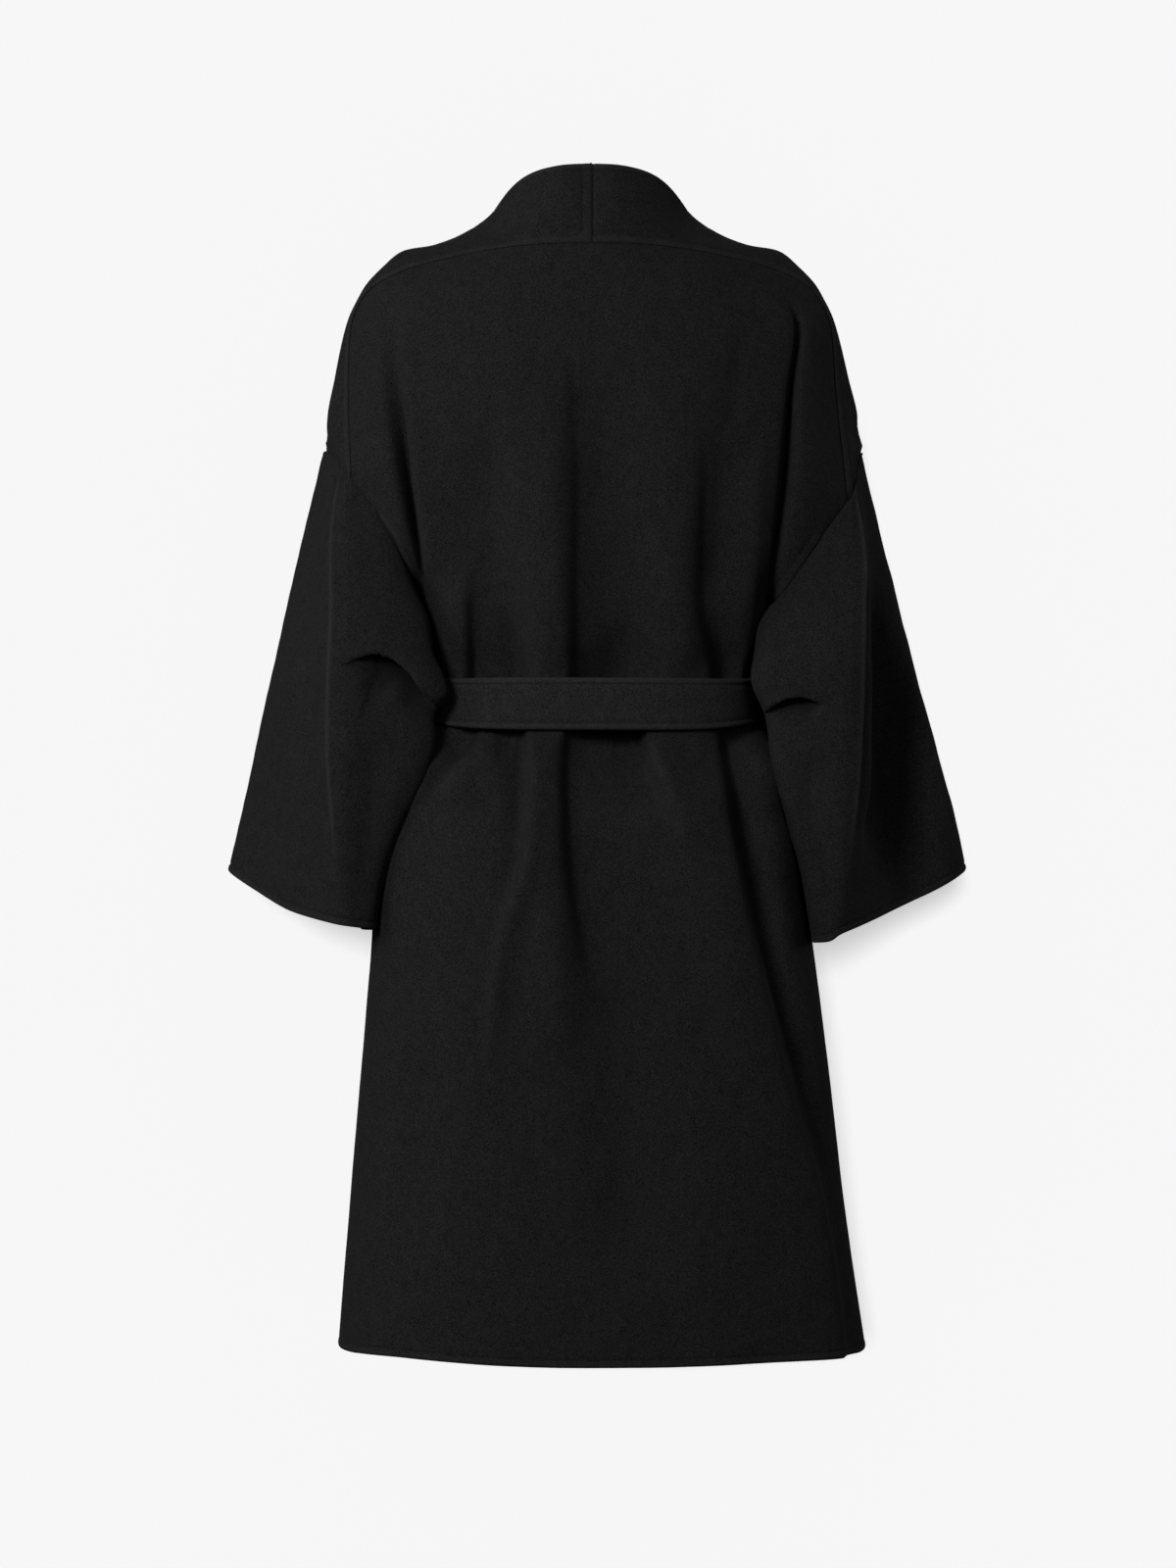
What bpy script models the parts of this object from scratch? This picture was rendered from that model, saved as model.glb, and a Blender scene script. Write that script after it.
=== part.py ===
"""A midi wrap coat in double-faced wool, belted and filled out as if worn, as a hollow garment.

Metres, +Z up. The front faces -Y and the wearer's left is +X. The origin is the middle of the
shoulder line, level with the back neck seam, where shoulders or a hanger carry the coat.
"""

import bpy
import numpy as np

# Cloth and sewing
CLOTH = 0.0022  # wall of double-faced wool
SEAM_GAP = 0.0003  # between neighbouring pieces
LAP_STEP = 0.0056  # how far the under front lies inside the over front

# How the worn coat sits askew
SHOULDER_LEAN = 0.003  # neck and shoulders to the wearer's left
RIGHT_CUFF_DROP = 0.009  # right cuff below the left

# Belt
BELT_WIDTH = 0.050
BELT_THICK = 0.0045
BELT_MIDDLE = -0.4375
BELT_SAG = 0.004  # lower at the centre back than at the sides
BELT_CLEAR = 0.0006  # belt to panel
TIE_CLEAR = 0.0012  # hanging ends to the front they lie on

# Body sections below the arm:
# height, half width, depth behind, depth in front, squareness, lean to the wearer's left
BODY_SECTIONS = [
    (-1.058, 0.255, 0.172, 0.172, 2.25, -0.007),
    (-0.932, 0.241, 0.165, 0.166, 2.25, -0.003),
    (-0.802, 0.227, 0.157, 0.158, 2.25, 0.000),
    (-0.668, 0.213, 0.149, 0.151, 2.30, 0.002),
    (-0.563, 0.200, 0.138, 0.143, 2.35, 0.002),
    (-0.503, 0.180, 0.123, 0.130, 2.35, 0.000),
    (-0.470, 0.157, 0.105, 0.113, 2.30, 0.000),
    (-0.408, 0.154, 0.103, 0.111, 2.30, 0.000),
    (-0.378, 0.160, 0.111, 0.120, 2.30, 0.000),
    (-0.345, 0.166, 0.117, 0.127, 2.30, 0.000),
]
BODY_ROWS = [2, 2, 2, 2, 2, 2, 2, 1, 1]

# Where each rail runs on those sections, in degrees from the centre back: at the hem, at the arm
BACK_RAILS = [(0, 0), (25, 34), (47, 58), (65, 74), (78, 83), (90, 90)]
BACK_COLUMNS = [4, 4, 3, 2, 2]
# The same from the centre front, where the first rail is the front edge past the middle
FRONT_RAILS = [(-20, -11), (12, 18), (32, 44), (50, 68), (66, 79), (79, 85), (90, 90)]
FRONT_COLUMNS = [4, 3, 3, 2, 2, 1]

# Seam of the shoulder: the armhole joint, up the arm, then over the shoulder to the neck corner
SHOULDER_SEAM = [
    (0.235, 0.048, -0.2195),
    (0.237, 0.036, -0.136),
    (0.2345, 0.028, -0.072),
    (0.2295, 0.026, -0.053),
    (0.2235, 0.027, -0.042),
    (0.216, 0.030, -0.034),
    (0.195, 0.040, -0.024),
    (0.175, 0.048, -0.017),
    (0.135, 0.060, -0.008),
    (0.0757, 0.078, 0.000),
]

# Back above the arm: centre back, blade, torso side, groove beside the arm, arm, armhole or seam
BACK_UPPER = [
    [(0, 0.121, -0.303), (0.088, 0.112, -0.303), (0.139, 0.088, -0.303),
     (0.161, 0.050, -0.304), (0.171, 0.056, -0.305), (0.180, 0.060, -0.306)],
    [(0, 0.123, -0.265), (0.091, 0.115, -0.265), (0.144, 0.091, -0.265),
     (0.164, 0.051, -0.268), (0.180, 0.064, -0.271), (0.1944, 0.066, -0.274)],
    [(0, 0.123, -0.218), (0.094, 0.116, -0.218), (0.149, 0.094, -0.218),
     (0.169, 0.054, -0.218), (0.203, 0.070, -0.219), SHOULDER_SEAM[0]],
    [(0, 0.120, -0.140), (0.097, 0.114, -0.140), (0.156, 0.095, -0.138),
     (0.180, 0.061, -0.136), (0.207, 0.066, -0.136), SHOULDER_SEAM[1]],
    [(0, 0.111, -0.075), (0.098, 0.105, -0.075), (0.159, 0.087, -0.073),
     (0.186, 0.064, -0.071), (0.209, 0.056, -0.072), SHOULDER_SEAM[2]],
    [(0, 0.103, -0.045), (0.094, 0.097, -0.045), (0.153, 0.079, -0.045),
     (0.184, 0.060, -0.046), (0.207, 0.049, -0.050), SHOULDER_SEAM[3]],
    [(0, 0.096, -0.021), (0.086, 0.088, -0.021), (0.145, 0.070, -0.025),
     (0.180, 0.054, -0.030), (0.202, 0.044, -0.036), SHOULDER_SEAM[4]],
    [(0, 0.088, 0.002), SHOULDER_SEAM[9], SHOULDER_SEAM[8],
     SHOULDER_SEAM[7], SHOULDER_SEAM[6], SHOULDER_SEAM[5]],
]
BACK_UPPER_ROWS = [2, 2, 2, 3, 3, 1, 1, 2]

# Front above the arm: front edge, chest, torso side, groove, arm, outside of the arm, armhole or seam
FRONT_UPPER = [
    [(-0.020, -0.132, -0.303), (0.065, -0.126, -0.303), (0.122, -0.105, -0.303), (0.159, -0.055, -0.303),
     (0.170, -0.052, -0.302), (0.178, -0.055, -0.301), (0.184, -0.056, -0.300)],
    [(-0.006, -0.134, -0.265), (0.072, -0.127, -0.265), (0.126, -0.107, -0.265), (0.164, -0.060, -0.265),
     (0.184, -0.067, -0.264), (0.198, -0.074, -0.263), (0.210, -0.076, -0.262)],
    [(0.008, -0.134, -0.226), (0.080, -0.125, -0.226), (0.132, -0.106, -0.226), (0.168, -0.064, -0.225),
     (0.197, -0.074, -0.224), (0.222, -0.074, -0.223), (0.243, -0.056, -0.224)],
    [(0.020, -0.131, -0.192), (0.086, -0.121, -0.192), (0.136, -0.103, -0.192), (0.172, -0.066, -0.190),
     (0.205, -0.074, -0.188), (0.240, -0.056, -0.188), (0.262, -0.004, -0.191)],
    [(0.032, -0.126, -0.160), (0.092, -0.115, -0.160), (0.140, -0.098, -0.160), (0.176, -0.066, -0.159),
     (0.210, -0.069, -0.160), (0.260, -0.004, -0.167), SHOULDER_SEAM[0]],
    [(0.050, -0.112, -0.107), (0.103, -0.100, -0.106), (0.146, -0.086, -0.105), (0.181, -0.062, -0.107),
     (0.212, -0.060, -0.110), (0.250, -0.003, -0.115), SHOULDER_SEAM[1]],
    [(0.074, -0.084, -0.047), (0.118, -0.073, -0.047), (0.154, -0.064, -0.050), (0.184, -0.052, -0.056),
     (0.210, -0.048, -0.063), (0.2385, 0.000, -0.062), SHOULDER_SEAM[2]],
    [(0.090, -0.042, 0.010), (0.122, -0.036, -0.001), (0.155, -0.034, -0.010), (0.184, -0.030, -0.018),
     (0.207, -0.024, -0.029), (0.2295, 0.002, -0.040), SHOULDER_SEAM[3]],
    [(0.093, 0.000, 0.046), (0.119, 0.004, 0.025), (0.152, 0.004, 0.0105), (0.185, 0.002, 0.004),
     (0.206, 0.002, -0.010), (0.221, 0.008, -0.026), SHOULDER_SEAM[4]],
    [(0.062, 0.062, 0.0725), SHOULDER_SEAM[9], SHOULDER_SEAM[8], SHOULDER_SEAM[7],
     SHOULDER_SEAM[6], (0.206, 0.035, -0.029), SHOULDER_SEAM[5]],
]
FRONT_UPPER_ROWS = [2, 2, 2, 2, 3, 3, 3, 1, 1, 2]

# Collar behind the neck: its upper edge at the centre back
COLLAR_TOP_BACK = (0.0, 0.079, 0.0775)

# Sleeve sections below the armhole: under seam, inner back, back, ridge, hollow, outside, three in front
SLEEVE_SECTIONS = [
    [(0.181, 0.000, -0.396), (0.152, 0.080, -0.402), (0.197, 0.106, -0.396), (0.254, 0.104, -0.386),
     (0.274, 0.034, -0.380), (0.3075, -0.022, -0.376), (0.284, -0.086, -0.380), (0.226, -0.104, -0.390),
     (0.188, -0.076, -0.398)],
    [(0.197, 0.000, -0.500), (0.171, 0.086, -0.500), (0.206, 0.111, -0.497), (0.2535, 0.111, -0.490),
     (0.284, 0.030, -0.482), (0.336, -0.030, -0.475), (0.304, -0.095, -0.480), (0.240, -0.114, -0.490),
     (0.192, -0.081, -0.500)],
    [(0.216, 0.000, -0.583), (0.196, 0.088, -0.585), (0.217, 0.110, -0.580), (0.249, 0.111, -0.570),
     (0.290, 0.030, -0.556), (0.350, -0.036, -0.545), (0.314, -0.100, -0.552), (0.250, -0.117, -0.570),
     (0.208, -0.085, -0.581)],
    [(0.226, 0.000, -0.656), (0.209, 0.084, -0.653), (0.224, 0.104, -0.651), (0.2465, 0.104, -0.647),
     (0.297, 0.034, -0.621), (0.3615, -0.040, -0.594), (0.325, -0.104, -0.604), (0.260, -0.119, -0.634),
     (0.217, -0.085, -0.650)],
]
SLEEVE_COLUMNS = [2, 2, 2, 2, 1, 2, 2, 2, 2]
SLEEVE_ROWS = [3, 4, 3, 3]

# Largest folds on the back: start, middle and end as (x, z), width to each side, depth inward
BACK_FOLDS = [
    ((0.008, -0.40), (0.012, -0.29), (0.004, -0.16), 0.014, 0.032, 0.011),
    ((0.066, -0.40), (0.064, -0.32), (0.057, -0.21), 0.022, 0.022, -0.006),
    ((-0.050, -0.40), (-0.048, -0.31), (-0.046, -0.20), 0.026, 0.026, -0.005),
    ((0.121, -0.40), (0.124, -0.35), (0.127, -0.30), 0.013, 0.014, 0.009),
    ((-0.116, -0.40), (-0.103, -0.32), (-0.098, -0.22), 0.013, 0.022, 0.012),
    ((-0.010, -0.478), (0.000, -0.60), (-0.026, -0.84), 0.020, 0.034, 0.013),
    ((0.060, -0.478), (0.070, -0.60), (0.103, -0.80), 0.024, 0.028, -0.009),
    ((-0.052, -0.478), (-0.078, -0.545), (-0.122, -0.66), 0.026, 0.026, -0.007),
    ((-0.142, -0.478), (-0.182, -0.70), (-0.243, -1.04), 0.014, 0.034, 0.020),
]

# Largest folds on the fronts, in the same columns
FRONT_FOLDS = [
    ((0.030, -0.40), (0.048, -0.30), (0.080, -0.18), 0.020, 0.028, 0.009),
    ((-0.052, -0.40), (-0.070, -0.31), (-0.090, -0.20), 0.024, 0.024, 0.008),
    ((0.104, -0.478), (0.134, -0.66), (0.170, -0.98), 0.026, 0.032, 0.012),
    ((-0.106, -0.478), (-0.140, -0.70), (-0.176, -1.02), 0.030, 0.024, 0.012),
]

# Wrap of the tie: height above the belt's middle, half width, depth
KNOT_SECTIONS = [
    (-0.0305, 0.017, 0.012),
    (-0.0240, 0.025, 0.023),
    (-0.0080, 0.0285, 0.029),
    (0.0080, 0.0285, 0.030),
    (0.0225, 0.025, 0.024),
    (0.0290, 0.017, 0.012),
]

# Hanging ends of the belt: across, height, width
LEFT_END = [
    (0.008, -0.4718, 0.030),
    (0.017, -0.510, 0.044),
    (0.029, -0.600, 0.050),
    (0.047, -0.775, 0.050),
]
RIGHT_END = [
    (-0.006, -0.4712, 0.030),
    (-0.014, -0.515, 0.046),
    (-0.025, -0.610, 0.050),
    (-0.036, -0.830, 0.050),
]

COLOURS = {
    "wool": (0.010, 0.010, 0.011, 1.0),
    "belt": (0.013, 0.013, 0.014, 1.0),
}


def curve(points, steps, closed=False):
    """A smooth line through points, cut into steps[i] pieces in its i-th span."""
    points = np.asarray(points, float)
    if closed:
        points = np.vstack([points[-2:], points, points[:3]])
    chord = np.sqrt(np.linalg.norm(np.diff(points, axis=0), axis=1)) + 1e-6
    slope = np.diff(points, axis=0) / chord[:, None]
    before, after = chord[:-1, None], chord[1:, None]
    inner = (after * slope[:-1] + before * slope[1:]) / (before + after)
    tangent = np.vstack([1.5 * slope[:1] - 0.5 * inner[:1], inner, 1.5 * slope[-1:] - 0.5 * inner[-1:]])
    first = 2 if closed else 0
    made = []
    for i, count in enumerate(steps):
        k = i + first
        for j in range(count):
            t = j / count
            made.append(
                (2 * t**3 - 3 * t**2 + 1) * points[k]
                + (t**3 - 2 * t**2 + t) * chord[k] * tangent[k]
                + (3 * t**2 - 2 * t**3) * points[k + 1]
                + (t**3 - t**2) * chord[k] * tangent[k + 1]
            )
    if not closed:
        made.append(points[-1])
    return np.array(made)


def loft(net, row_steps, column_steps, closed=False):
    """A grid of points through a net of control points, rows first."""
    net = np.asarray(net, float)
    rails = np.stack([curve(net[:, j], row_steps) for j in range(net.shape[1])], axis=1)
    return np.stack([curve(row, column_steps, closed) for row in rails])


def ramp(value, start, end):
    """0 at start and 1 at end, smoothly."""
    t = np.clip((value - start) / (end - start), 0, 1)
    return t * t * (3 - 2 * t)


def section_point(section, degrees, behind):
    """A point of a body section, degrees from its centre back or centre front."""
    height, half, back, front, square, lean = section
    angle = np.radians(degrees)
    x = half * np.sign(np.sin(angle)) * abs(np.sin(angle)) ** (2 / square)
    depth = back if behind else -front
    return (x + lean, depth * abs(np.cos(angle)) ** (2 / square), height)


def body_net(rails, behind, lean_side):
    """Control points of the body from the hem to the arm, on one side of the coat."""
    net = []
    for i, section in enumerate(BODY_SECTIONS):
        share = i / (len(BODY_SECTIONS) - 1)
        section = section[:5] + (section[5] * lean_side,)
        net.append([section_point(section, (1 - share) * a + share * b, behind) for a, b in rails])
    return net


def fold_depth(points, folds):
    """How far inward each point goes for the folds of a table."""
    flat = points[..., [0, 2]]
    total = np.zeros(points.shape[:-1])
    for start, middle, end, left, right, depth in folds:
        path = curve([start, middle, end], [6, 6])
        best = np.full(total.shape, 1e9)
        share = np.zeros(total.shape)
        side = np.zeros(total.shape)
        for i in range(len(path) - 1):
            along = path[i + 1] - path[i]
            length = np.linalg.norm(along)
            along = along / length
            offset = flat - path[i]
            run = np.clip(offset @ along, 0, length)
            away = np.linalg.norm(offset - run[..., None] * along, axis=-1)
            near = away < best
            best = np.where(near, away, best)
            share = np.where(near, (i + run / length) / (len(path) - 1), share)
            side = np.where(near, flat[..., 0] - (path[i] + run[..., None] * along)[..., 0], side)
        width = np.where(side > 0, left, right)
        ends = ramp(share, -0.08, 0.06) * ramp(share, 1.0, 0.7)
        total += depth * ends * np.exp(-((best / width) ** 2))
    pressed = ramp(abs(points[..., 2] - BELT_MIDDLE), 0.034, 0.062)
    return np.where(total < 0, total * pressed, total)


def grid_normals(grid, closed=False):
    """Unit normals of a grid, from its rows and columns."""
    if closed:
        across = np.roll(grid, -1, axis=1) - np.roll(grid, 1, axis=1)
    else:
        across = np.gradient(grid, axis=1)
    along = np.gradient(grid, axis=0)
    normal = np.cross(across, along)
    return normal / (np.linalg.norm(normal, axis=-1, keepdims=True) + 1e-12)


class Panel:
    """One cut piece as a list of points and the four-sided cells between them."""

    def __init__(self, name):
        self.name = name
        self.points = []
        self.normals = []
        self.cells = []
        self.index = {}

    def vertex(self, point):
        key = tuple(np.round(point, 7))
        if key not in self.index:
            self.index[key] = len(self.points)
            self.points.append(np.array(point))
            self.normals.append(np.zeros(3))
        return self.index[key]

    def add(self, grid, flip, closed=False):
        rows, columns = grid.shape[:2]
        number = [[self.vertex(grid[i, j]) for j in range(columns)] for i in range(rows)]
        for i in range(rows - 1):
            for j in range(columns if closed else columns - 1):
                k = (j + 1) % columns
                cell = [number[i][j], number[i][k], number[i + 1][k], number[i + 1][j]]
                if flip:
                    cell = [cell[2], cell[1], cell[0], cell[3]]
                self.cells.append(cell)
                a, b, c, d = (self.points[m] for m in cell)
                out = np.cross(c - a, d - b)
                for m in cell:
                    self.normals[m] += out / (np.linalg.norm(out) + 1e-12)
        return self


def share_normals(panels):
    """The same normal on both sides of a seam, save where the cloth doubles back under the arm."""
    meeting = {}
    for panel in panels:
        for key, i in panel.index.items():
            panel.normals[i] = panel.normals[i] / np.linalg.norm(panel.normals[i])
            meeting.setdefault(key, []).append(panel.normals[i])
    for panel in panels:
        for key, i in panel.index.items():
            own = panel.normals[i]
            mean = np.mean([n for n in meeting[key] if n @ own > 0.0], axis=0)
            panel.normals[i] = mean / np.linalg.norm(mean)


def edge_loops(cells):
    """Directed edges that only one cell uses."""
    used = {}
    for cell in cells:
        for a, b in zip(cell, cell[1:] + cell[:1]):
            used[(a, b)] = True
    return [(a, b) for a, b in used if (b, a) not in used]


def wall(panel):
    """Vertices and faces of a closed wall, its edges drawn back by half a seam gap."""
    points = np.array(panel.points)
    normals = np.array(panel.normals)
    rim = edge_loops(panel.cells)
    rim_points = {a for a, b in rim}
    pull = {a: [] for a in rim_points}
    for cell in panel.cells:
        middle = points[cell].mean(axis=0)
        for a in cell:
            if a in pull:
                pull[a].append(middle)
    outside = points.copy()
    leaving = {a: b for a, b in rim}
    arriving = {b: a for a, b in rim}
    for a in rim_points:
        along = points[leaving[a]] - points[arriving[a]]
        along /= np.linalg.norm(along) + 1e-12
        inward = np.mean(pull[a], axis=0) - points[a]
        inward -= along * (inward @ along)
        inward -= normals[a] * (inward @ normals[a])
        inward /= np.linalg.norm(inward) + 1e-12
        outside[a] += inward * SEAM_GAP / 2
    inside = outside - normals * CLOTH
    count = len(points)
    faces = []
    for a, b, c, d in panel.cells:
        if np.linalg.norm(points[a] - points[c]) < np.linalg.norm(points[b] - points[d]) + 1e-5:
            halves = [(a, b, c), (a, c, d)]
        else:
            halves = [(a, b, d), (b, c, d)]
        for half in halves:
            faces.append(half)
            faces.append(tuple(i + count for i in reversed(half)))
    for a, b in rim:
        if tuple(points[a]) < tuple(points[b]):
            faces += [(b, a, a + count), (b, a + count, b + count)]
        else:
            faces += [(b, a, b + count), (a, a + count, b + count)]
    return np.vstack([outside, inside]), faces


def add_object(name, vertices, faces, colour, collection):
    """A named object with its own material."""
    mesh = bpy.data.meshes.new(name)
    mesh.from_pydata([tuple(map(float, v)) for v in vertices], [], faces)
    mesh.update()
    mesh.shade_smooth()
    material = bpy.data.materials.new(name + "_cloth")
    material.use_nodes = True
    shader = material.node_tree.nodes["Principled BSDF"]
    shader.inputs["Base Color"].default_value = COLOURS[colour]
    shader.inputs["Roughness"].default_value = 0.9
    mesh.materials.append(material)
    made = bpy.data.objects.new(name, mesh)
    collection.objects.link(made)
    return made


def mirrored(net):
    """A net reflected to the wearer's right."""
    return [[(-x, y, z) for x, y, z in row] for row in net]


def pin_edge(grid, column, side, upper, first_rows, count):
    """Sets an outer column above the arm to two smooth lines that meet in the corner of the armhole."""
    low = sum(BODY_ROWS)
    edge = np.array([row[-1] for row in upper]) * (side, 1, 1)
    armhole = curve(np.vstack([grid[low, column], edge[:count]]), first_rows[:count])
    seam = curve(edge[count - 1 :], first_rows[count:])
    grid[low:, column] = np.vstack([armhole, seam[1:]])


def back_grid():
    """The whole back, from the wearer's right to the left."""
    left = body_net(BACK_RAILS, True, 1) + BACK_UPPER
    right = mirrored(body_net(BACK_RAILS, True, -1)) + mirrored(BACK_UPPER)
    net = [r[:0:-1] + l for l, r in zip(left, right)]
    grid = loft(net, BODY_ROWS + BACK_UPPER_ROWS, BACK_COLUMNS[::-1] + BACK_COLUMNS)
    pin_edge(grid, -1, 1, BACK_UPPER, BACK_UPPER_ROWS, 3)
    pin_edge(grid, 0, -1, BACK_UPPER, BACK_UPPER_ROWS, 3)
    out = -grid_normals(grid)
    return grid - out * (fold_depth(grid, BACK_FOLDS) * ramp(out[..., 1], 0.1, 0.6))[..., None]


def front_grids(side, back):
    """One front and its collar half: side is 1 for the wearer's left."""
    net = body_net(FRONT_RAILS, False, side) + FRONT_UPPER
    if side < 0:
        net = mirrored(net)
    grid = loft(net, BODY_ROWS + FRONT_UPPER_ROWS, FRONT_COLUMNS)
    pin_edge(grid, -1, side, FRONT_UPPER, FRONT_UPPER_ROWS, 5)
    out = grid_normals(grid) * side
    grid = grid - out * (fold_depth(grid, FRONT_FOLDS) * ramp(-out[..., 1], 0.1, 0.6))[..., None]
    if side > 0:
        lap = np.arange(grid.shape[1]) / FRONT_COLUMNS[0]
        step = ramp(lap, 2.3, 1.45) * ramp(grid[..., 2], -0.13, -0.20)
        grid = grid - out * (LAP_STEP * step)[..., None]

    half = sum(BACK_COLUMNS)
    across = back if side > 0 else back[:, ::-1]
    body_rows = sum(BODY_ROWS)
    arm_rows = sum(FRONT_UPPER_ROWS[:5])
    seam_rows = sum(BACK_UPPER_ROWS[:3])
    grid[: body_rows + 1, -1] = across[: body_rows + 1, -1]
    grid[body_rows + arm_rows :, -1] = across[body_rows + seam_rows :, -1]
    corner = half + BACK_COLUMNS[0]
    grid[-1, FRONT_COLUMNS[0] :] = across[-1, corner:]

    neck = across[-1, half : corner + 1][::-1]
    start = grid[-1, : FRONT_COLUMNS[0] + 1]
    lead = grid[-2, 0]
    top = curve([lead, start[0], COLLAR_TOP_BACK], [1, BACK_COLUMNS[0]])[1:]
    collar = []
    for j, low in enumerate(neck):
        share = np.linspace(0, 1, FRONT_COLUMNS[0] + 1)[:, None]
        bow = start - (start[0] + (start[-1] - start[0]) * share)
        bow = bow * (1 - j / (len(neck) - 1))
        collar.append(top[j] + (low - top[j]) * share + bow)
    collar = np.array(collar)
    collar[0] = start
    return grid, collar


def sleeve_grid(side, back, front):
    """One sleeve, its first ring taken from the armhole."""
    body_rows = sum(BODY_ROWS)
    behind = back if side > 0 else back[:, ::-1]
    rise = behind[body_rows : body_rows + sum(BACK_UPPER_ROWS[:3]) + 1, -1]
    fall = front[body_rows : body_rows + sum(FRONT_UPPER_ROWS[:5]) + 1, -1][::-1]
    ring = np.vstack([rise, fall[1:-1]])
    levels = [ring]
    for drop, section in zip((0.0, 0.2, 0.6, 1.0), SLEEVE_SECTIONS):
        points = np.array(section) * (side, 1, 1)
        if side < 0:
            points[:, 2] -= RIGHT_CUFF_DROP * drop
        levels.append(curve(points, SLEEVE_COLUMNS, closed=True))
    return np.stack([curve([level[j] for level in levels], SLEEVE_ROWS) for j in range(len(ring))], axis=1)


def belt_ring(clear, height):
    """Points round the waist, a given distance outside the body."""
    low, high = BODY_SECTIONS[6], BODY_SECTIONS[7]
    made = []
    for i in range(56):
        degrees = i * 360 / 56
        sag = BELT_SAG * (0.5 + 0.5 * np.cos(np.radians(degrees)))
        z = height - sag
        share = (z - low[0]) / (high[0] - low[0])
        section = [a + (b - a) * share for a, b in zip(low, high)]
        section[1] += clear
        section[2] += clear
        section[3] += clear
        behind = np.cos(np.radians(degrees)) > 0
        turn = degrees if behind else 180 - degrees
        x, y, _ = section_point(section, turn, behind)
        made.append((x, y, z))
    return made


def tube(name, loops, colour, collection, capped):
    """A closed body through loops of points, capped at its ends or joined end to end."""
    loops = np.asarray(loops, float)
    rows, columns = loops.shape[:2]
    faces = []
    for i in range(rows - 1 if capped else rows):
        m = (i + 1) % rows
        for j in range(columns):
            k = (j + 1) % columns
            faces.append((i * columns + j, i * columns + k, m * columns + k, m * columns + j))
    if capped:
        faces.append(tuple(reversed(range(columns))))
        faces.append(tuple((rows - 1) * columns + j for j in range(columns)))
    return add_object(name, loops.reshape(-1, 3), faces, colour, collection)


def front_depth(front, x, z):
    """How far forward the over front lies at a place."""
    heights = front[: sum(BODY_ROWS) + 1, 0, 2]
    row = int(np.clip(np.searchsorted(heights, z) - 1, 0, len(heights) - 2))
    share = (z - heights[row]) / (heights[row + 1] - heights[row])
    low, high = (np.interp(x, front[k, ::-1, 0], front[k, ::-1, 1]) for k in (row, row + 1))
    return low + (high - low) * share


def belt_end(front, stations, clear):
    """Loops of points down one hanging end, laid on the over front."""
    path = curve(stations, [4, 4, 6])
    loops = []
    for k, (x, z, width) in enumerate(path):
        along = path[min(k + 1, len(path) - 1)] - path[max(k - 1, 0)]
        across = np.array([-along[1], along[0]]) / np.hypot(along[0], along[1])
        spots = [np.array([x, z]) + across * width * share for share in (-0.5, -0.17, 0.17, 0.5)]
        laid = [(a, front_depth(front, a, c) - clear, c) for a, c in spots]
        raised = [(a, b - BELT_THICK * 0.9, c) for a, b, c in laid]
        loops.append(laid + raised[::-1])
    return loops


def knot_loops():
    """Loops of points up the wrap of the tie, flat against the belt."""
    lower = belt_ring(BELT_CLEAR + BELT_THICK + 0.0004, BELT_MIDDLE - BELT_WIDTH / 2)
    face = min(y for x, y, z in lower)
    loops = []
    for rise, half, depth in KNOT_SECTIONS:
        turns = np.linspace(np.pi, 0, 11)
        bulge = depth * abs(np.sin(turns)) ** 0.8
        loops.append([(half * np.cos(a), face - b, BELT_MIDDLE + rise) for a, b in zip(turns, bulge)])
    return loops


def build():
    for old in list(bpy.data.objects):
        bpy.data.objects.remove(old)
    collection = bpy.data.collections.new("midi_coat")
    bpy.context.scene.collection.children.link(collection)

    back = back_grid()
    left, left_collar = front_grids(1, back)
    right, right_collar = front_grids(-1, back)
    left_sleeve = sleeve_grid(1, back, left)
    right_sleeve = sleeve_grid(-1, back, right)
    for grid in (back, left, left_collar, right, right_collar, left_sleeve, right_sleeve):
        grid[..., 0] += SHOULDER_LEAN * ramp(grid[..., 2], -0.25, -0.05)
    panels = [
        Panel("back_panel").add(back, True),
        Panel("front_left").add(left, False).add(left_collar, False),
        Panel("front_right").add(right, True).add(right_collar, True),
        Panel("sleeve_left").add(left_sleeve, False, closed=True),
        Panel("sleeve_right").add(right_sleeve, True, closed=True),
    ]
    share_normals(panels)
    for panel in panels:
        vertices, faces = wall(panel)
        add_object(panel.name, vertices, faces, "wool", collection)

    half = BELT_WIDTH / 2
    outer = BELT_CLEAR + BELT_THICK
    rings = [
        belt_ring(BELT_CLEAR, BELT_MIDDLE - half + 0.001),
        belt_ring(outer - 0.001, BELT_MIDDLE - half),
        belt_ring(outer, BELT_MIDDLE - half + 0.002),
        belt_ring(outer, BELT_MIDDLE + half - 0.002),
        belt_ring(outer - 0.001, BELT_MIDDLE + half),
        belt_ring(BELT_CLEAR, BELT_MIDDLE + half - 0.001),
    ]
    tube("belt", np.array(rings).transpose(1, 0, 2), "belt", collection, capped=False)
    tube("belt_knot", knot_loops(), "belt", collection, capped=True)
    tube("belt_end_right", belt_end(right, RIGHT_END, TIE_CLEAR), "belt", collection, capped=True)
    second = TIE_CLEAR + BELT_THICK + 0.0005
    tube("belt_end_left", belt_end(right, LEFT_END, second), "belt", collection, capped=True)


build()
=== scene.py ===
# %% [markdown]
# # A black wool wrap coat, seen from behind
# The real coat is cut from double-faced wool: one back, two fronts with the collar grown on, two wide
# sleeves and a tie belt. Here it is filled out as if worn, and hollow. Each cut piece could be simulated
# as cloth, but then its creases fall where they like. So every piece is a grid of points laid over its
# pattern marks, and the creases are placed one by one, which keeps them where the coat shows them.

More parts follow.
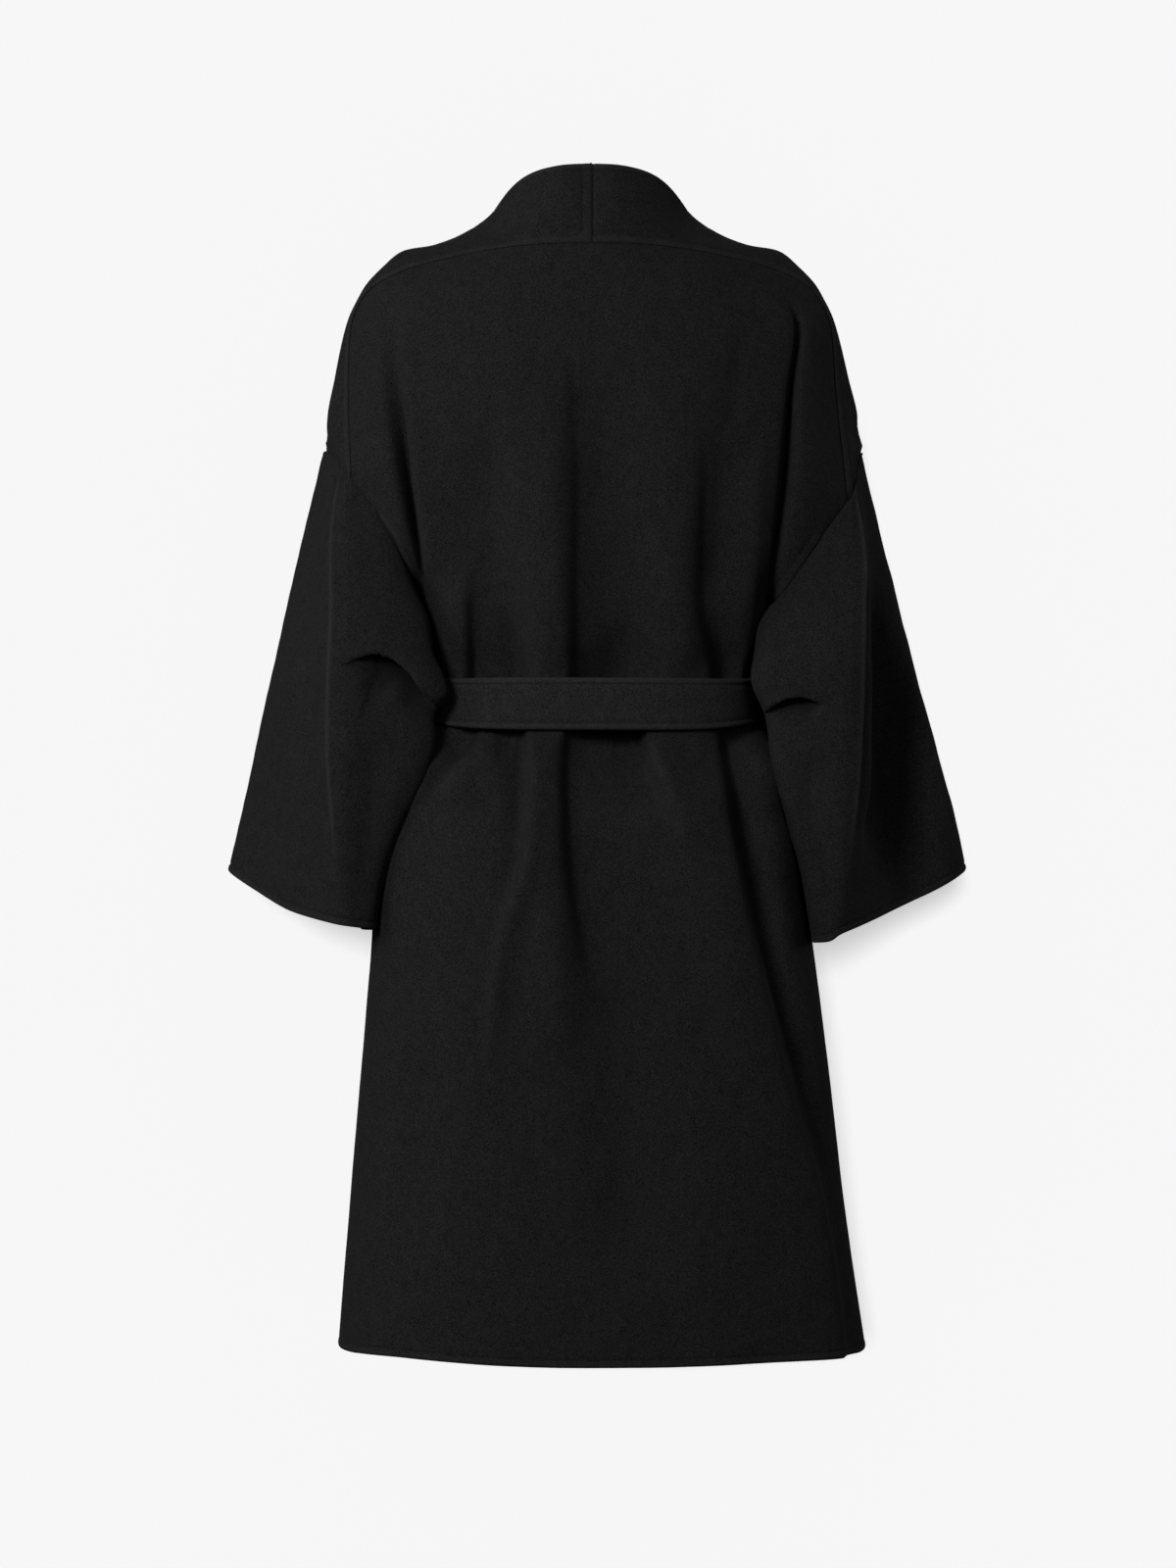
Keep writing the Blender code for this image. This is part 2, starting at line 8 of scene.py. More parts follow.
import bpy
import numpy as np
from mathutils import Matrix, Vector
from mathutils.kdtree import KDTree


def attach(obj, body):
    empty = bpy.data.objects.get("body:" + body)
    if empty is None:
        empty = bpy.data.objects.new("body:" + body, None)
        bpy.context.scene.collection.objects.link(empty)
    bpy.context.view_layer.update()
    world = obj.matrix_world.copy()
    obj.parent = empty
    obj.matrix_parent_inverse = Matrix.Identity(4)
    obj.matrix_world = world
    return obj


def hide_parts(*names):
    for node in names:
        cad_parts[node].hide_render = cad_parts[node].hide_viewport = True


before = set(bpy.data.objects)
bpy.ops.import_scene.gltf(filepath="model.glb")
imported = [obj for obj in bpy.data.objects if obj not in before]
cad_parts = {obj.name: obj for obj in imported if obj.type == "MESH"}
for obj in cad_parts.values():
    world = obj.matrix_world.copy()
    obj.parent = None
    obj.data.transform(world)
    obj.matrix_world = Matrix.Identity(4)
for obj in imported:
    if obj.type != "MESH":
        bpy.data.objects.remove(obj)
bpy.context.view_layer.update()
print("pieces in the frame:", ", ".join(sorted(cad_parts)))

# %% [markdown]
# ## The camera
# The coat was taken from straight behind, level with its middle, from some way off: the hem and the cuffs
# curve only a little. A lens of 85 mm on a 36 mm frame at 3.6 m gives that view.

# %% Camera level with the middle of the coat
FILM_MM = 36
LENS_MM = 84.65
CAMERA_PLACE = (0.0057, 3.6, -0.515)
camera_data = bpy.data.cameras.new("camera")
camera_data.sensor_fit = "AUTO"
camera_data.sensor_width = FILM_MM
camera_data.lens = LENS_MM
camera = bpy.data.objects.new("camera", camera_data)
camera.location = CAMERA_PLACE
camera.rotation_euler = (np.pi / 2, 0, np.pi)
bpy.context.scene.collection.objects.link(camera)
bpy.context.scene.camera = camera
bpy.context.scene.view_settings.view_transform = "Standard"
print("height of view: %.2f m" % (CAMERA_PLACE[1] * FILM_MM / LENS_MM))

# %% [markdown]
# ## Colours and nodes
# Colours are written as the hex values that a painter would pick on a screen, and one function turns them
# into the linear light that the renderer adds up. One more function adds a node, sets its values and links
# its inputs, so that a material reads as a list of what is on the cloth.


# %% Hex to linear colour, and one function for every node
def linear(code):
    """Linear colour of a hex value."""
    parts = [int(code[i : i + 2], 16) / 255 for i in (1, 3, 5)]
    return [p / 12.92 if p <= 0.04045 else ((p + 0.055) / 1.055) ** 2.4 for p in parts] + [1.0]


def set_inputs(tree, node, **inputs):
    """Sets or links inputs of a node, by name, or by place as in_0, in_1 and so on."""
    for name, value in inputs.items():
        socket = node.inputs[int(name[3:]) if name.startswith("in_") else name.replace("_", " ")]
        if isinstance(value, bpy.types.NodeSocket):
            tree.links.new(value, socket)
        else:
            socket.default_value = value


def add_node(tree, kind, settings=(), **inputs):
    """Adds a node with its settings, and sets or links its inputs."""
    made = tree.nodes.new("ShaderNode" + kind)
    for name, value in dict(settings).items():
        setattr(made, name, value)
    set_inputs(tree, made, **inputs)
    return made


print("paper white in linear light: %.3f" % linear("#f6f6f6")[0])

# %% [markdown]
# ## The studio
# A pale floor and a pale paper behind the coat, and soft light from low on the left, so that each fold has
# a dark side. The paper could be a real wall, but then nobody could look at the coat from the front: so it
# shows only its printed side. The lamps leave paper and floor alone; both glow evenly, and one more light
# gives the paper its drop shadow.

# %% Floor and paper
FLOOR, FLOOR_REACH = -1.46, 6
PAPER, PAPER_REACH, PAPER_TOP = -0.205, 2, 1.6


def stage_piece(name, corners, glow, strength):
    """A flat four-cornered piece of the studio, which glows but throws no light on the coat."""
    mesh = bpy.data.meshes.new(name)
    mesh.from_pydata(corners, [], [(0, 1, 2, 3)])
    made = bpy.data.objects.new(name, mesh)
    bpy.context.scene.collection.objects.link(made)
    material = bpy.data.materials.new(name + "_matt_paper")
    material.use_nodes = True
    tree = material.node_tree
    shader = tree.nodes["Principled BSDF"]
    set_inputs(tree, shader, Base_Color=linear("#f2f2f2"), Roughness=1.0, Specular_IOR_Level=0.0)
    set_inputs(tree, shader, Emission_Color=linear(glow), Emission_Strength=strength)
    mesh.materials.append(material)
    for seen_by in ("visible_diffuse", "visible_glossy", "visible_transmission"):
        setattr(made, seen_by, False)
    return made


around = [(-1, -1), (1, -1), (1, 1), (-1, 1)]
floor_corners = [(FLOOR_REACH * x, FLOOR_REACH * y, FLOOR) for x, y in around]
paper_corners = [(-PAPER_REACH * x, PAPER, FLOOR if y < 0 else PAPER_TOP) for x, y in around]
floor = stage_piece("floor", floor_corners, "#f0f0f0", 0.95)
paper = stage_piece("paper", paper_corners, "#ffffff", 0.565)
paper.visible_shadow = False
tree = paper.data.materials[0].node_tree
printed = tree.nodes["Principled BSDF"].outputs[0]
clear = add_node(tree, "BsdfTransparent").outputs[0]
behind = add_node(tree, "NewGeometry").outputs["Backfacing"]
sheet = add_node(tree, "MixShader", Fac=behind, in_1=printed, in_2=clear)
set_inputs(tree, tree.nodes["Material Output"], Surface=sheet.outputs[0])
print("floor at %.2f m, paper at %.2f m" % (FLOOR, PAPER))

# %% Soft light from the left on the coat, and a drop light on the paper
LAMPS = [
    # name, kind, place, aimed at, width in metres or spread in radians, watts or strength
    ("key", "AREA", (1.75, 2.9, 0.8), (0, 0, -0.5), 1.3, 93),
    ("fill", "AREA", (-1.2, 3.7, 0.3), (0, 0, -0.55), 1.8, 20),
    ("left_rim", "AREA", (2.9, 0.6, 0.4), (0, 0, -0.5), 1.2, 36),
    ("right_rim", "AREA", (-2.8, -0.5, 0.2), (0, 0, -0.5), 1.2, 18),
    ("far_side", "AREA", (0.3, -3.2, 0.6), (0, 0, -0.5), 1.6, 85),
    ("drop", "SUN", (0.30, 4.0, 0.43), (0, 0, 0), 0.13, 1.20),
]
paper_only = bpy.data.collections.new("paper_only")
paper_only.objects.link(paper)
not_paper = bpy.data.collections.new("not_paper")
for piece in (paper, floor):
    not_paper.objects.link(piece)
for linked in not_paper.collection_objects:
    linked.light_linking.link_state = "EXCLUDE"
for name, kind, place, target, width, strength in LAMPS:
    data = bpy.data.lights.new(name, kind)
    data.energy = strength
    if kind == "AREA":
        data.shape = "DISK"
        data.size = width
    else:
        data.angle = width
    lamp = bpy.data.objects.new(name, data)
    lamp.location = place
    lamp.rotation_euler = (Vector(target) - Vector(place)).to_track_quat("-Z", "Y").to_euler()
    lamp.light_linking.receiver_collection = paper_only if kind == "SUN" else not_paper
    bpy.context.scene.collection.objects.link(lamp)

world = bpy.data.worlds.new("pale_room")
bpy.context.scene.world = world
world.use_nodes = True
tree = world.node_tree
tree.nodes.clear()
seen = add_node(tree, "LightPath").outputs["Is Camera Ray"]
dim = add_node(tree, "Background", Color=linear("#ffffff"), Strength=0.03).outputs[0]
bright = add_node(tree, "Background", Color=linear("#f6f6f6"), Strength=1.0).outputs[0]
room = add_node(tree, "MixShader", Fac=seen, in_1=dim, in_2=bright)
add_node(tree, "OutputWorld", Surface=room.outputs[0])
print("lamps:", ", ".join(lamp[0] for lamp in LAMPS))

# %% [markdown]
# ## The cloth
# Double-faced wool is two thin cloths woven as one, then milled and brushed until the weave disappears
# under a short nap. To the eye it is matt and nearly black, a little mottled, with a soft bloom where the
# nap is seen from the side. The fibres are about 0.03 mm thick, far too fine to show, so the nap is drawn
# as tufts of about 1.4 mm with finer ones between them.

# %% Brushed double-faced wool
NAP_TUFT = 0.0014
CLOUDING = 0.012
CLOUD_SHARE = 0.12
NAP_HEIGHT = 0.0004
# colour of the painted shade in the hollows under the sleeve rolls
PAINTED_SHADE_COLOUR = "#050505"


def brushed_wool(name, deep, raised, wear_and_painted_light):
    """Black wool with a short nap between two colours, lighter with wear and painted highlight, and darker
    with painted shade under the rolls.
    """
    material = bpy.data.materials.new(name)
    material.use_nodes = True
    tree = material.node_tree
    shader = tree.nodes["Principled BSDF"]
    place = add_node(tree, "TexCoord").outputs["Object"]
    nap = add_node(tree, "TexNoise", Vector=place, Scale=1 / NAP_TUFT, Detail=4.0, Roughness=0.62)
    cloud = add_node(tree, "TexNoise", Vector=place, Scale=1 / CLOUDING, Detail=2.0, Roughness=0.5)
    both = add_node(
        tree, "Math", {"operation": "MULTIPLY_ADD"},
        in_0=cloud.outputs["Fac"], in_1=CLOUD_SHARE, in_2=nap.outputs["Fac"],
    ).outputs[0]
    tuft = add_node(tree, "MapRange", From_Min=0.38, From_Max=0.73, Value=both).outputs["Result"]
    # the attribute lightens the nap with wear and painted highlight along edges and ridges, and below zero
    # darkens it with painted shade under the rolls
    wear_highlight_and_shade = add_node(tree, "Attribute", {"attribute_name": "wear_and_painted_light"}).outputs["Fac"]
    # where the attribute is below zero, this share darkens the nap with painted shade
    flat = add_node(tree, "Math", {"operation": "MULTIPLY", "use_clamp": True}, in_0=wear_highlight_and_shade, in_1=-1.0)
    colour = linear(deep)
    for share, other in ((tuft, raised), (wear_highlight_and_shade, wear_and_painted_light), (flat.outputs[0], PAINTED_SHADE_COLOUR)):
        colour = add_node(tree, "MixRGB", Fac=share, Color1=colour, Color2=linear(other)).outputs[0]
    relief = add_node(tree, "Bump", Strength=0.5, Distance=NAP_HEIGHT, Height=both)
    set_inputs(tree, shader, Base_Color=colour, Normal=relief.outputs[0])
    set_inputs(tree, shader, Roughness=0.92, Specular_IOR_Level=0.06)
    set_inputs(tree, shader, Sheen_Weight=0.016, Sheen_Roughness=0.4, Sheen_Tint=linear("#f4f4f4"))
    return material


COAT_WOOL = brushed_wool("black_double_faced_wool", "#0b0b0b", "#242424", "#343434")
BELT_WOOL = brushed_wool("black_belt_wool", "#101010", "#2b2b2b", "#393939")
print("nap drawn at %.1f mm" % (NAP_TUFT * 1000))

# %% [markdown]
# ## Smooth lines through pattern marks
# A pattern cutter marks a few points and draws a fair curve through them. The same is done here: a cubic
# line through the marks, and a loft of such lines both ways for a whole piece. Counting in spans of the
# marks, 1.5 is midway between the second mark and the third.


# %% Fair curves and lofts
def smooth_line(marks, at, closed=False):
    """Points of a fair curve through marks, at counts of spans."""
    marks = np.asarray(marks, float)
    at = np.asarray(at, float)
    if closed:
        marks = np.concatenate([marks[-2:], marks, marks[:3]])
        at = at + 2
    reach = np.diff(marks, axis=0)
    chord = np.sqrt(np.linalg.norm(reach, axis=-1, keepdims=True)) + 1e-6
    slope = reach / chord
    inner = (chord[1:] * slope[:-1] + chord[:-1] * slope[1:]) / (chord[:-1] + chord[1:])
    first, last = slope[:1], slope[-1:]
    if len(inner):
        first, last = 1.5 * first - 0.5 * inner[:1], 1.5 * last - 0.5 * inner[-1:]
    lean = np.concatenate([first, inner, last])
    k = np.clip(np.floor(at).astype(int), 0, len(reach) - 1)
    t = (at - k).reshape(-1, *[1] * (marks.ndim - 1))
    return (
        (2 * t**3 - 3 * t**2 + 1) * marks[k]
        + (t**3 - 2 * t**2 + t) * chord[k] * lean[k]
        + (3 * t**2 - 2 * t**3) * marks[k + 1]
        + (t**3 - t**2) * chord[k] * lean[k + 1]
    )


def loft(net, rows, columns):
    """A grid of points over a net of marks."""
    rails = smooth_line(net, rows)
    return smooth_line(rails.swapaxes(0, 1), columns).swapaxes(0, 1)


def ramp(value, start, end):
    """0 at start and 1 at end, smoothly."""
    t = np.clip((value - start) / (end - start), 0, 1)
    return t * t * (3 - 2 * t)


# %% [markdown]
# The grid is even, about 3 to 6 mm, but a sewn edge needs finer lines beside it for its ridge and groove.
# So the counts are worked out along a line of the piece, with extra ones in the first 12 mm from an edge.

# %% Even steps, closer together beside an edge
# metres between rows and between columns
BACK_SPACING, FRONT_SPACING = (0.0060, 0.0031), (0.0046, 0.0044)
COLLAR_SPACING, SLEEVE_SPACING = 0.0028, 0.0033
BESIDE_EDGE = np.array([0, 0.7, 1.4, 2.2, 3.0, 4.0, 5.0, 5.9, 6.7, 7.5, 8.6, 10.2, 12.4]) / 1000


def nearest(values, target):
    """Place of the value that is closest to a target."""
    return int(np.argmin(abs(values - target)))


def walked(line):
    """Distance along a line of points."""
    return np.append(0, np.cumsum(np.linalg.norm(np.diff(line, axis=0), axis=1)))


def even_steps(marks, spacing, at_start, at_end, keep=()):
    """Counts of spans that cut a line evenly, with finer ones beside its sewn ends."""
    at = np.linspace(0, len(marks) - 1, 80 * len(marks))
    run = walked(smooth_line(marks, at))
    stops = np.linspace(0, run[-1], int(run[-1] / spacing) + 1)
    clear = BESIDE_EDGE[-1] + spacing / 2
    if at_start:
        stops = np.concatenate([BESIDE_EDGE, stops[stops > clear]])
    if at_end:
        stops = np.concatenate([stops[stops < run[-1] - clear], run[-1] - BESIDE_EDGE[::-1]])
    steps = np.interp(stops, run, at)
    for mark in keep:
        steps[nearest(steps, mark)] = mark
    return steps


print("lines beside an edge:", len(BESIDE_EDGE))

# %% [markdown]
# ## The block of the coat
# These are the marks of the pattern, worn: the body as flattened ovals from the hem to the underarm, then
# rows of marks over the blades, shoulders and upper arms. They are those of the solid part, so the dressed
# coat lies on it, apart from two things that the creases need: the back is a little flatter, and the right
# armhole lies lower than the left.

# %% Marks of the body, in metres
CLOTH = 0.0022
LAP_STEP = 0.0056
SHOULDER_LEAN = 0.003
BELT_MIDDLE = -0.4375
BACK_FLATTER = 0.7
BODY_SECTIONS = [
    # height, half width, depth behind, depth in front, squareness, lean to the wearer's left
    (-1.058, 0.255, 0.172, 0.172, 2.25, -0.007),
    (-0.932, 0.241, 0.165, 0.166, 2.25, -0.003),
    (-0.802, 0.227, 0.157, 0.158, 2.25, 0.000),
    (-0.668, 0.213, 0.149, 0.151, 2.30, 0.002),
    (-0.563, 0.200, 0.138, 0.143, 2.35, 0.002),
    (-0.503, 0.180, 0.123, 0.130, 2.35, 0.000),
    (-0.470, 0.157, 0.105, 0.113, 2.30, 0.000),
    (-0.408, 0.154, 0.103, 0.111, 2.30, 0.000),
    (-0.378, 0.160, 0.111, 0.120, 2.30, 0.000),
    (-0.345, 0.166, 0.117, 0.127, 2.30, 0.000),
]
UNDERARM = len(BODY_SECTIONS) - 1
# degrees round the body for each line of marks: at the hem, at the underarm
BACK_RAILS = [(0, 0), (25, 34), (47, 58), (60, 69), (68, 76), (79, 84), (90, 90)]
FRONT_RAILS = [(-20, -11), (12, 18), (32, 44), (50, 68), (66, 79), (79, 85), (90, 90)]

# %% Marks of the shoulder seam, back and fronts, in metres
# from the armhole corner up the arm, then over the shoulder to the neck
SEAM = [
    (0.235, 0.048, -0.2195), (0.237, 0.036, -0.136), (0.2335, 0.028, -0.072), (0.2275, 0.026, -0.053),
    (0.2210, 0.027, -0.042), (0.2135, 0.030, -0.034), (0.195, 0.040, -0.024), (0.175, 0.048, -0.017),
    (0.135, 0.060, -0.008), (0.0757, 0.078, 0.000),
]
# centre back, blade, torso side, then the arm and the armhole or seam
BACK_UPPER = [
    [(0, 0.121, -0.303), (0.088, 0.112, -0.303), (0.139, 0.090, -0.303), (0.180, 0.060, -0.306)],
    [(0, 0.123, -0.265), (0.091, 0.115, -0.265), (0.144, 0.094, -0.265), (0.1944, 0.066, -0.274)],
    [(0, 0.123, -0.218), (0.094, 0.116, -0.218), (0.149, 0.097, -0.218), SEAM[0]],
    [(0, 0.120, -0.140), (0.097, 0.114, -0.140), (0.156, 0.097, -0.138), SEAM[1]],
    [(0, 0.111, -0.075), (0.098, 0.105, -0.075), (0.159, 0.088, -0.073), SEAM[2]],
    [(0, 0.103, -0.045), (0.094, 0.097, -0.045), (0.153, 0.079, -0.045), SEAM[3]],
    [(0, 0.096, -0.021), (0.086, 0.088, -0.021), (0.145, 0.070, -0.025), SEAM[4]],
]
BACK_TOP = [(0, 0.088, 0.002), SEAM[9], SEAM[8], (0.158, 0.0535, -0.0125), SEAM[7], SEAM[6], SEAM[5]]
# the fold that hangs over the groove beside the arm, the groove, and the arm: left side, then right side
BESIDE_ARM = {
    1: [
        [(0.161, 0.081, -0.303), (0.1645, 0.056, -0.304), (0.171, 0.062, -0.305)],
        [(0.166, 0.085, -0.266), (0.1695, 0.058, -0.268), (0.179, 0.073, -0.271)],
        [(0.172, 0.089, -0.218), (0.1760, 0.064, -0.218), (0.190, 0.082, -0.219)],
        [(0.178, 0.089, -0.137), (0.1840, 0.075, -0.136), (0.201, 0.075, -0.136)],
        [(0.177, 0.080, -0.072), (0.1860, 0.071, -0.071), (0.209, 0.058, -0.072)],
        [(0.170, 0.070, -0.046), (0.1840, 0.062, -0.046), (0.207, 0.049, -0.050)],
        [(0.162, 0.063, -0.028), (0.1800, 0.054, -0.030), (0.202, 0.044, -0.036)],
    ],
    -1: [
        [(0.164, 0.080, -0.303), (0.1670, 0.055, -0.304), (0.1725, 0.060, -0.318)],
        [(0.169, 0.084, -0.266), (0.1730, 0.060, -0.268), (0.1830, 0.073, -0.280)],
        [(0.175, 0.088, -0.218), (0.1790, 0.062, -0.218), (0.1940, 0.082, -0.226)],
        [(0.184, 0.086, -0.137), (0.1880, 0.063, -0.136), (0.1985, 0.080, -0.136)],
        [(0.191, 0.075, -0.072), (0.1960, 0.060, -0.071), (0.2080, 0.063, -0.072)],
        [(0.176, 0.069, -0.046), (0.1880, 0.060, -0.046), (0.2070, 0.049, -0.050)],
        [(0.162, 0.063, -0.028), (0.1800, 0.054, -0.030), (0.2020, 0.044, -0.036)],
    ],
}
# the right armhole lies lower than the left: its edge from the underarm to the corner
RIGHT_ARMHOLE = [(0.178, 0.055, -0.335), (0.205, 0.064, -0.2965), (0.2465, 0.042, -0.240)]
# front edge, chest, torso side, groove, arm, outside of the arm, armhole or seam
FRONT_UPPER = [
    [(-0.020, -0.132, -0.303), (0.065, -0.126, -0.303), (0.122, -0.105, -0.303), (0.159, -0.055, -0.303),
     (0.170, -0.052, -0.302), (0.178, -0.055, -0.301), (0.184, -0.056, -0.300)],
    [(-0.006, -0.134, -0.265), (0.072, -0.127, -0.265), (0.126, -0.107, -0.265), (0.164, -0.060, -0.265),
     (0.184, -0.067, -0.264), (0.198, -0.074, -0.263), (0.210, -0.076, -0.262)],
    [(0.008, -0.134, -0.226), (0.080, -0.125, -0.226), (0.132, -0.106, -0.226), (0.168, -0.064, -0.225),
     (0.197, -0.074, -0.224), (0.222, -0.074, -0.223), (0.243, -0.056, -0.224)],
    [(0.020, -0.131, -0.192), (0.086, -0.121, -0.192), (0.136, -0.103, -0.192), (0.172, -0.066, -0.190),
     (0.205, -0.074, -0.188), (0.240, -0.056, -0.188), (0.2595, -0.004, -0.191)],
    [(0.032, -0.126, -0.160), (0.092, -0.115, -0.160), (0.140, -0.098, -0.160), (0.176, -0.066, -0.159),
     (0.210, -0.069, -0.160), (0.2585, -0.004, -0.164), SEAM[0]],
    [(0.050, -0.112, -0.107), (0.103, -0.100, -0.106), (0.146, -0.086, -0.105), (0.181, -0.062, -0.107),
     (0.212, -0.060, -0.110), (0.250, -0.003, -0.115), SEAM[1]],
    [(0.074, -0.084, -0.047), (0.118, -0.073, -0.047), (0.154, -0.064, -0.050), (0.184, -0.052, -0.056),
     (0.209, -0.048, -0.063), (0.2362, 0.000, -0.062), SEAM[2]],
    [(0.090, -0.042, 0.010), (0.122, -0.036, -0.001), (0.155, -0.034, -0.010), (0.184, -0.030, -0.018),
     (0.204, -0.024, -0.030), (0.2262, 0.002, -0.041), SEAM[3]],
    [(0.093, 0.000, 0.046), (0.119, 0.004, 0.025), (0.152, 0.004, 0.0105), (0.185, 0.002, 0.004),
     (0.2035, 0.002, -0.0112), (0.2180, 0.008, -0.0272), SEAM[4]],
    [(0.062, 0.062, 0.0725), SEAM[9], SEAM[8], SEAM[7], SEAM[6], (0.206, 0.035, -0.029), SEAM[5]],
]
# rows and columns of marks at the armhole corner, the top of the fronts and the centre back
BACK_JOINT = UNDERARM + 3
FRONT_JOINT = UNDERARM + 5
FRONT_TOP = UNDERARM + len(FRONT_UPPER)
CENTRE_BACK = len(BACK_TOP) - 1
COLLAR_TOP_BACK = (SHOULDER_LEAN, 0.079, 0.0775)
print("rows of marks: back %d, front %d" % (UNDERARM + len(BACK_UPPER) + 2, FRONT_TOP + 1))


# %% Ovals of the body, and the outer edge above the arm
def section_point(section, degrees, behind):
    """A point of a body section, degrees from its centre back or centre front."""
    height, half, back, front, square, lean = section
    square += BACK_FLATTER * behind
    angle = np.radians(degrees)
    x = half * np.sign(np.sin(angle)) * abs(np.sin(angle)) ** (2 / square)
    depth = back if behind else -front
    return (x + lean, depth * abs(np.cos(angle)) ** (2 / square), height)


def body_net(rails, behind, lean_side):
    """Marks of the body from the hem to the underarm, on one side of the coat."""
    net = []
    for i, section in enumerate(BODY_SECTIONS):
        share = i / UNDERARM
        section = section[:5] + (section[5] * lean_side,)
        net.append([section_point(section, (1 - share) * a + share * b, behind) for a, b in rails])
    return net


def pin_edge(grid, column, rows, columns, net, joint):
    """Sets an outer column above the arm to two fair curves that meet in the armhole corner."""
    above = rows >= UNDERARM
    at = rows[above]
    edge = np.array([row[column] for row in net])
    armhole = smooth_line(edge[UNDERARM : joint + 1], np.minimum(at, joint) - UNDERARM)
    seam = smooth_line(edge[joint:], np.maximum(at, joint) - joint)
    shift = np.where((at <= joint)[:, None], armhole, seam) - grid[above, column]
    grid[above] += shift[:, None] * ramp(abs(columns - columns[column]), 0.9, 0.0)[:, None]


# %% Ways to move a whole grid, and its normals
def lean_over(grid):
    """The neck and shoulders sit a little to the wearer's left."""
    grid[..., 0] += SHOULDER_LEAN * ramp(grid[..., 2], -0.25, -0.05)
    return grid


def pushed(grid, pushes, share=1.0):
    """A grid with some places pushed aside."""
    for place, spread, push in pushes:
        near = share * np.exp(-np.sum(((grid - place) / spread) ** 2, axis=-1))
        grid = grid + near[..., None] * push
    return grid


def unit(vectors):
    return vectors / (np.linalg.norm(vectors, axis=-1, keepdims=True) + 1e-12)


def outward(grid, closed=False):
    """Unit normals of a grid, from its rows and columns."""
    if closed:
        across = np.roll(grid, -1, axis=1) - np.roll(grid, 1, axis=1)
    else:
        across = np.gradient(grid, axis=1)
    return unit(np.cross(across, np.gradient(grid, axis=0)))


# %% [markdown]
# ## Creases placed one by one
# Wool this thick makes few creases, and they are soft: a trough or ridge with one steep and one gentle
# side. They could come from a simulation or from a picture, but a short table says more: the path of each
# crease as it is seen from behind, how far it spreads to each side, how deep it goes and where it fades.


# %% Depth of a table of creases
def beside_line(flat, path):
    """For flat points: distance from a line, share and length along it, side of it, way across it."""
    line = smooth_line(path, np.linspace(0, len(path) - 1, 9 * (len(path) - 1) + 1))
    best = np.full(len(flat), 1e9)
    run, turn, across = np.zeros(len(flat)), np.zeros(len(flat)), np.zeros((len(flat), 2))
    length = 0.0
    for a, b in zip(line, line[1:]):
        step = np.linalg.norm(b - a)
        along = (b - a) / step
        offset = flat - a
        share = np.clip(offset @ along, 0, step)
        gap = offset - share[:, None] * along
        away = np.linalg.norm(gap, axis=1)
        closer = away < best
        best[closer] = away[closer]
        across[closer] = gap[closer]
        run[closer] = length + share[closer]
        turn[closer] = (along[0] * gap[:, 1] - along[1] * gap[:, 0])[closer]
        length += step
    span = line[-1] - line[0]
    turn *= -np.sign(span[np.argmax(abs(span))])
    return best, run / length, length, turn, across


# a crease is felt this many of its widths away
WIDTHS_FELT = 2.7
# metres from the belt's middle over which ridges rise again, and how far the sides spring out below it
BESIDE_BELT, FLARE = (0.024, 0.046), 0.013


def crease_depth(points, creases):
    """Metres inward at each point, for creases in millimetres."""
    flat = points[..., [0, 2]].reshape(-1, 2) * 1000
    total = np.zeros(len(flat))
    for path, left, right, depth, fade_in, fade_out in creases:
        reach = WIDTHS_FELT * max(left, right) + 6
        low, high = np.min(path, axis=0) - reach, np.max(path, axis=0) + reach
        near = np.flatnonzero(np.all((flat > low) & (flat < high), axis=1))
        best, share, length, turn, _ = beside_line(flat[near], path)
        width = np.where(turn > 0, left, right)
        depths = np.atleast_1d(depth)
        deep = np.interp(share, np.linspace(0, 1, len(depths)), depths)
        if fade_in:
            deep = deep * ramp(share * length, 0, fade_in)
        if fade_out:
            deep = deep * ramp((1 - share) * length, 0, fade_out)
        total[near] += deep * np.exp(-((best / width) ** 2))
    return total.reshape(points.shape[:-1]) / 1000


def press_at_belt(depth, points):
    """Ridges are pressed flat under the belt."""
    free = ramp(abs(points[..., 2] - BELT_MIDDLE), *BESIDE_BELT)
    return np.where(depth < 0, depth * free, depth)


def flare_under_belt(points):
    """Metres outward at the sides, where the gathered cloth springs out below the belt."""
    x, z = points[..., 0], points[..., 2]
    return FLARE * ramp(z, -0.452, -0.470) * ramp(z, -0.552, -0.498) * ramp(abs(x), 0.11, 0.155)


def uneven(points, size):
    """A slow, slight unevenness that no pressed cloth is without."""
    x, z = points[..., 0], points[..., 2]
    slow = np.sin(74 * x + 21 * z + 0.6) * np.sin(53 * z - 17 * x + 1.9)
    fast = np.sin(171 * x - 88 * z + 2.1) * np.sin(139 * z + 61 * x + 0.2)
    return size * (slow + 0.35 * fast)


# %% [markdown]
# ## The back
# One piece without a centre seam. Above the belt it is gathered into a centre trough, a sharp pleat to
# each side and soft ridges between; a groove runs down beside each arm. Below the belt a deep pocket opens
# at the centre, and one long fold runs from the right of the belt down to the hem.

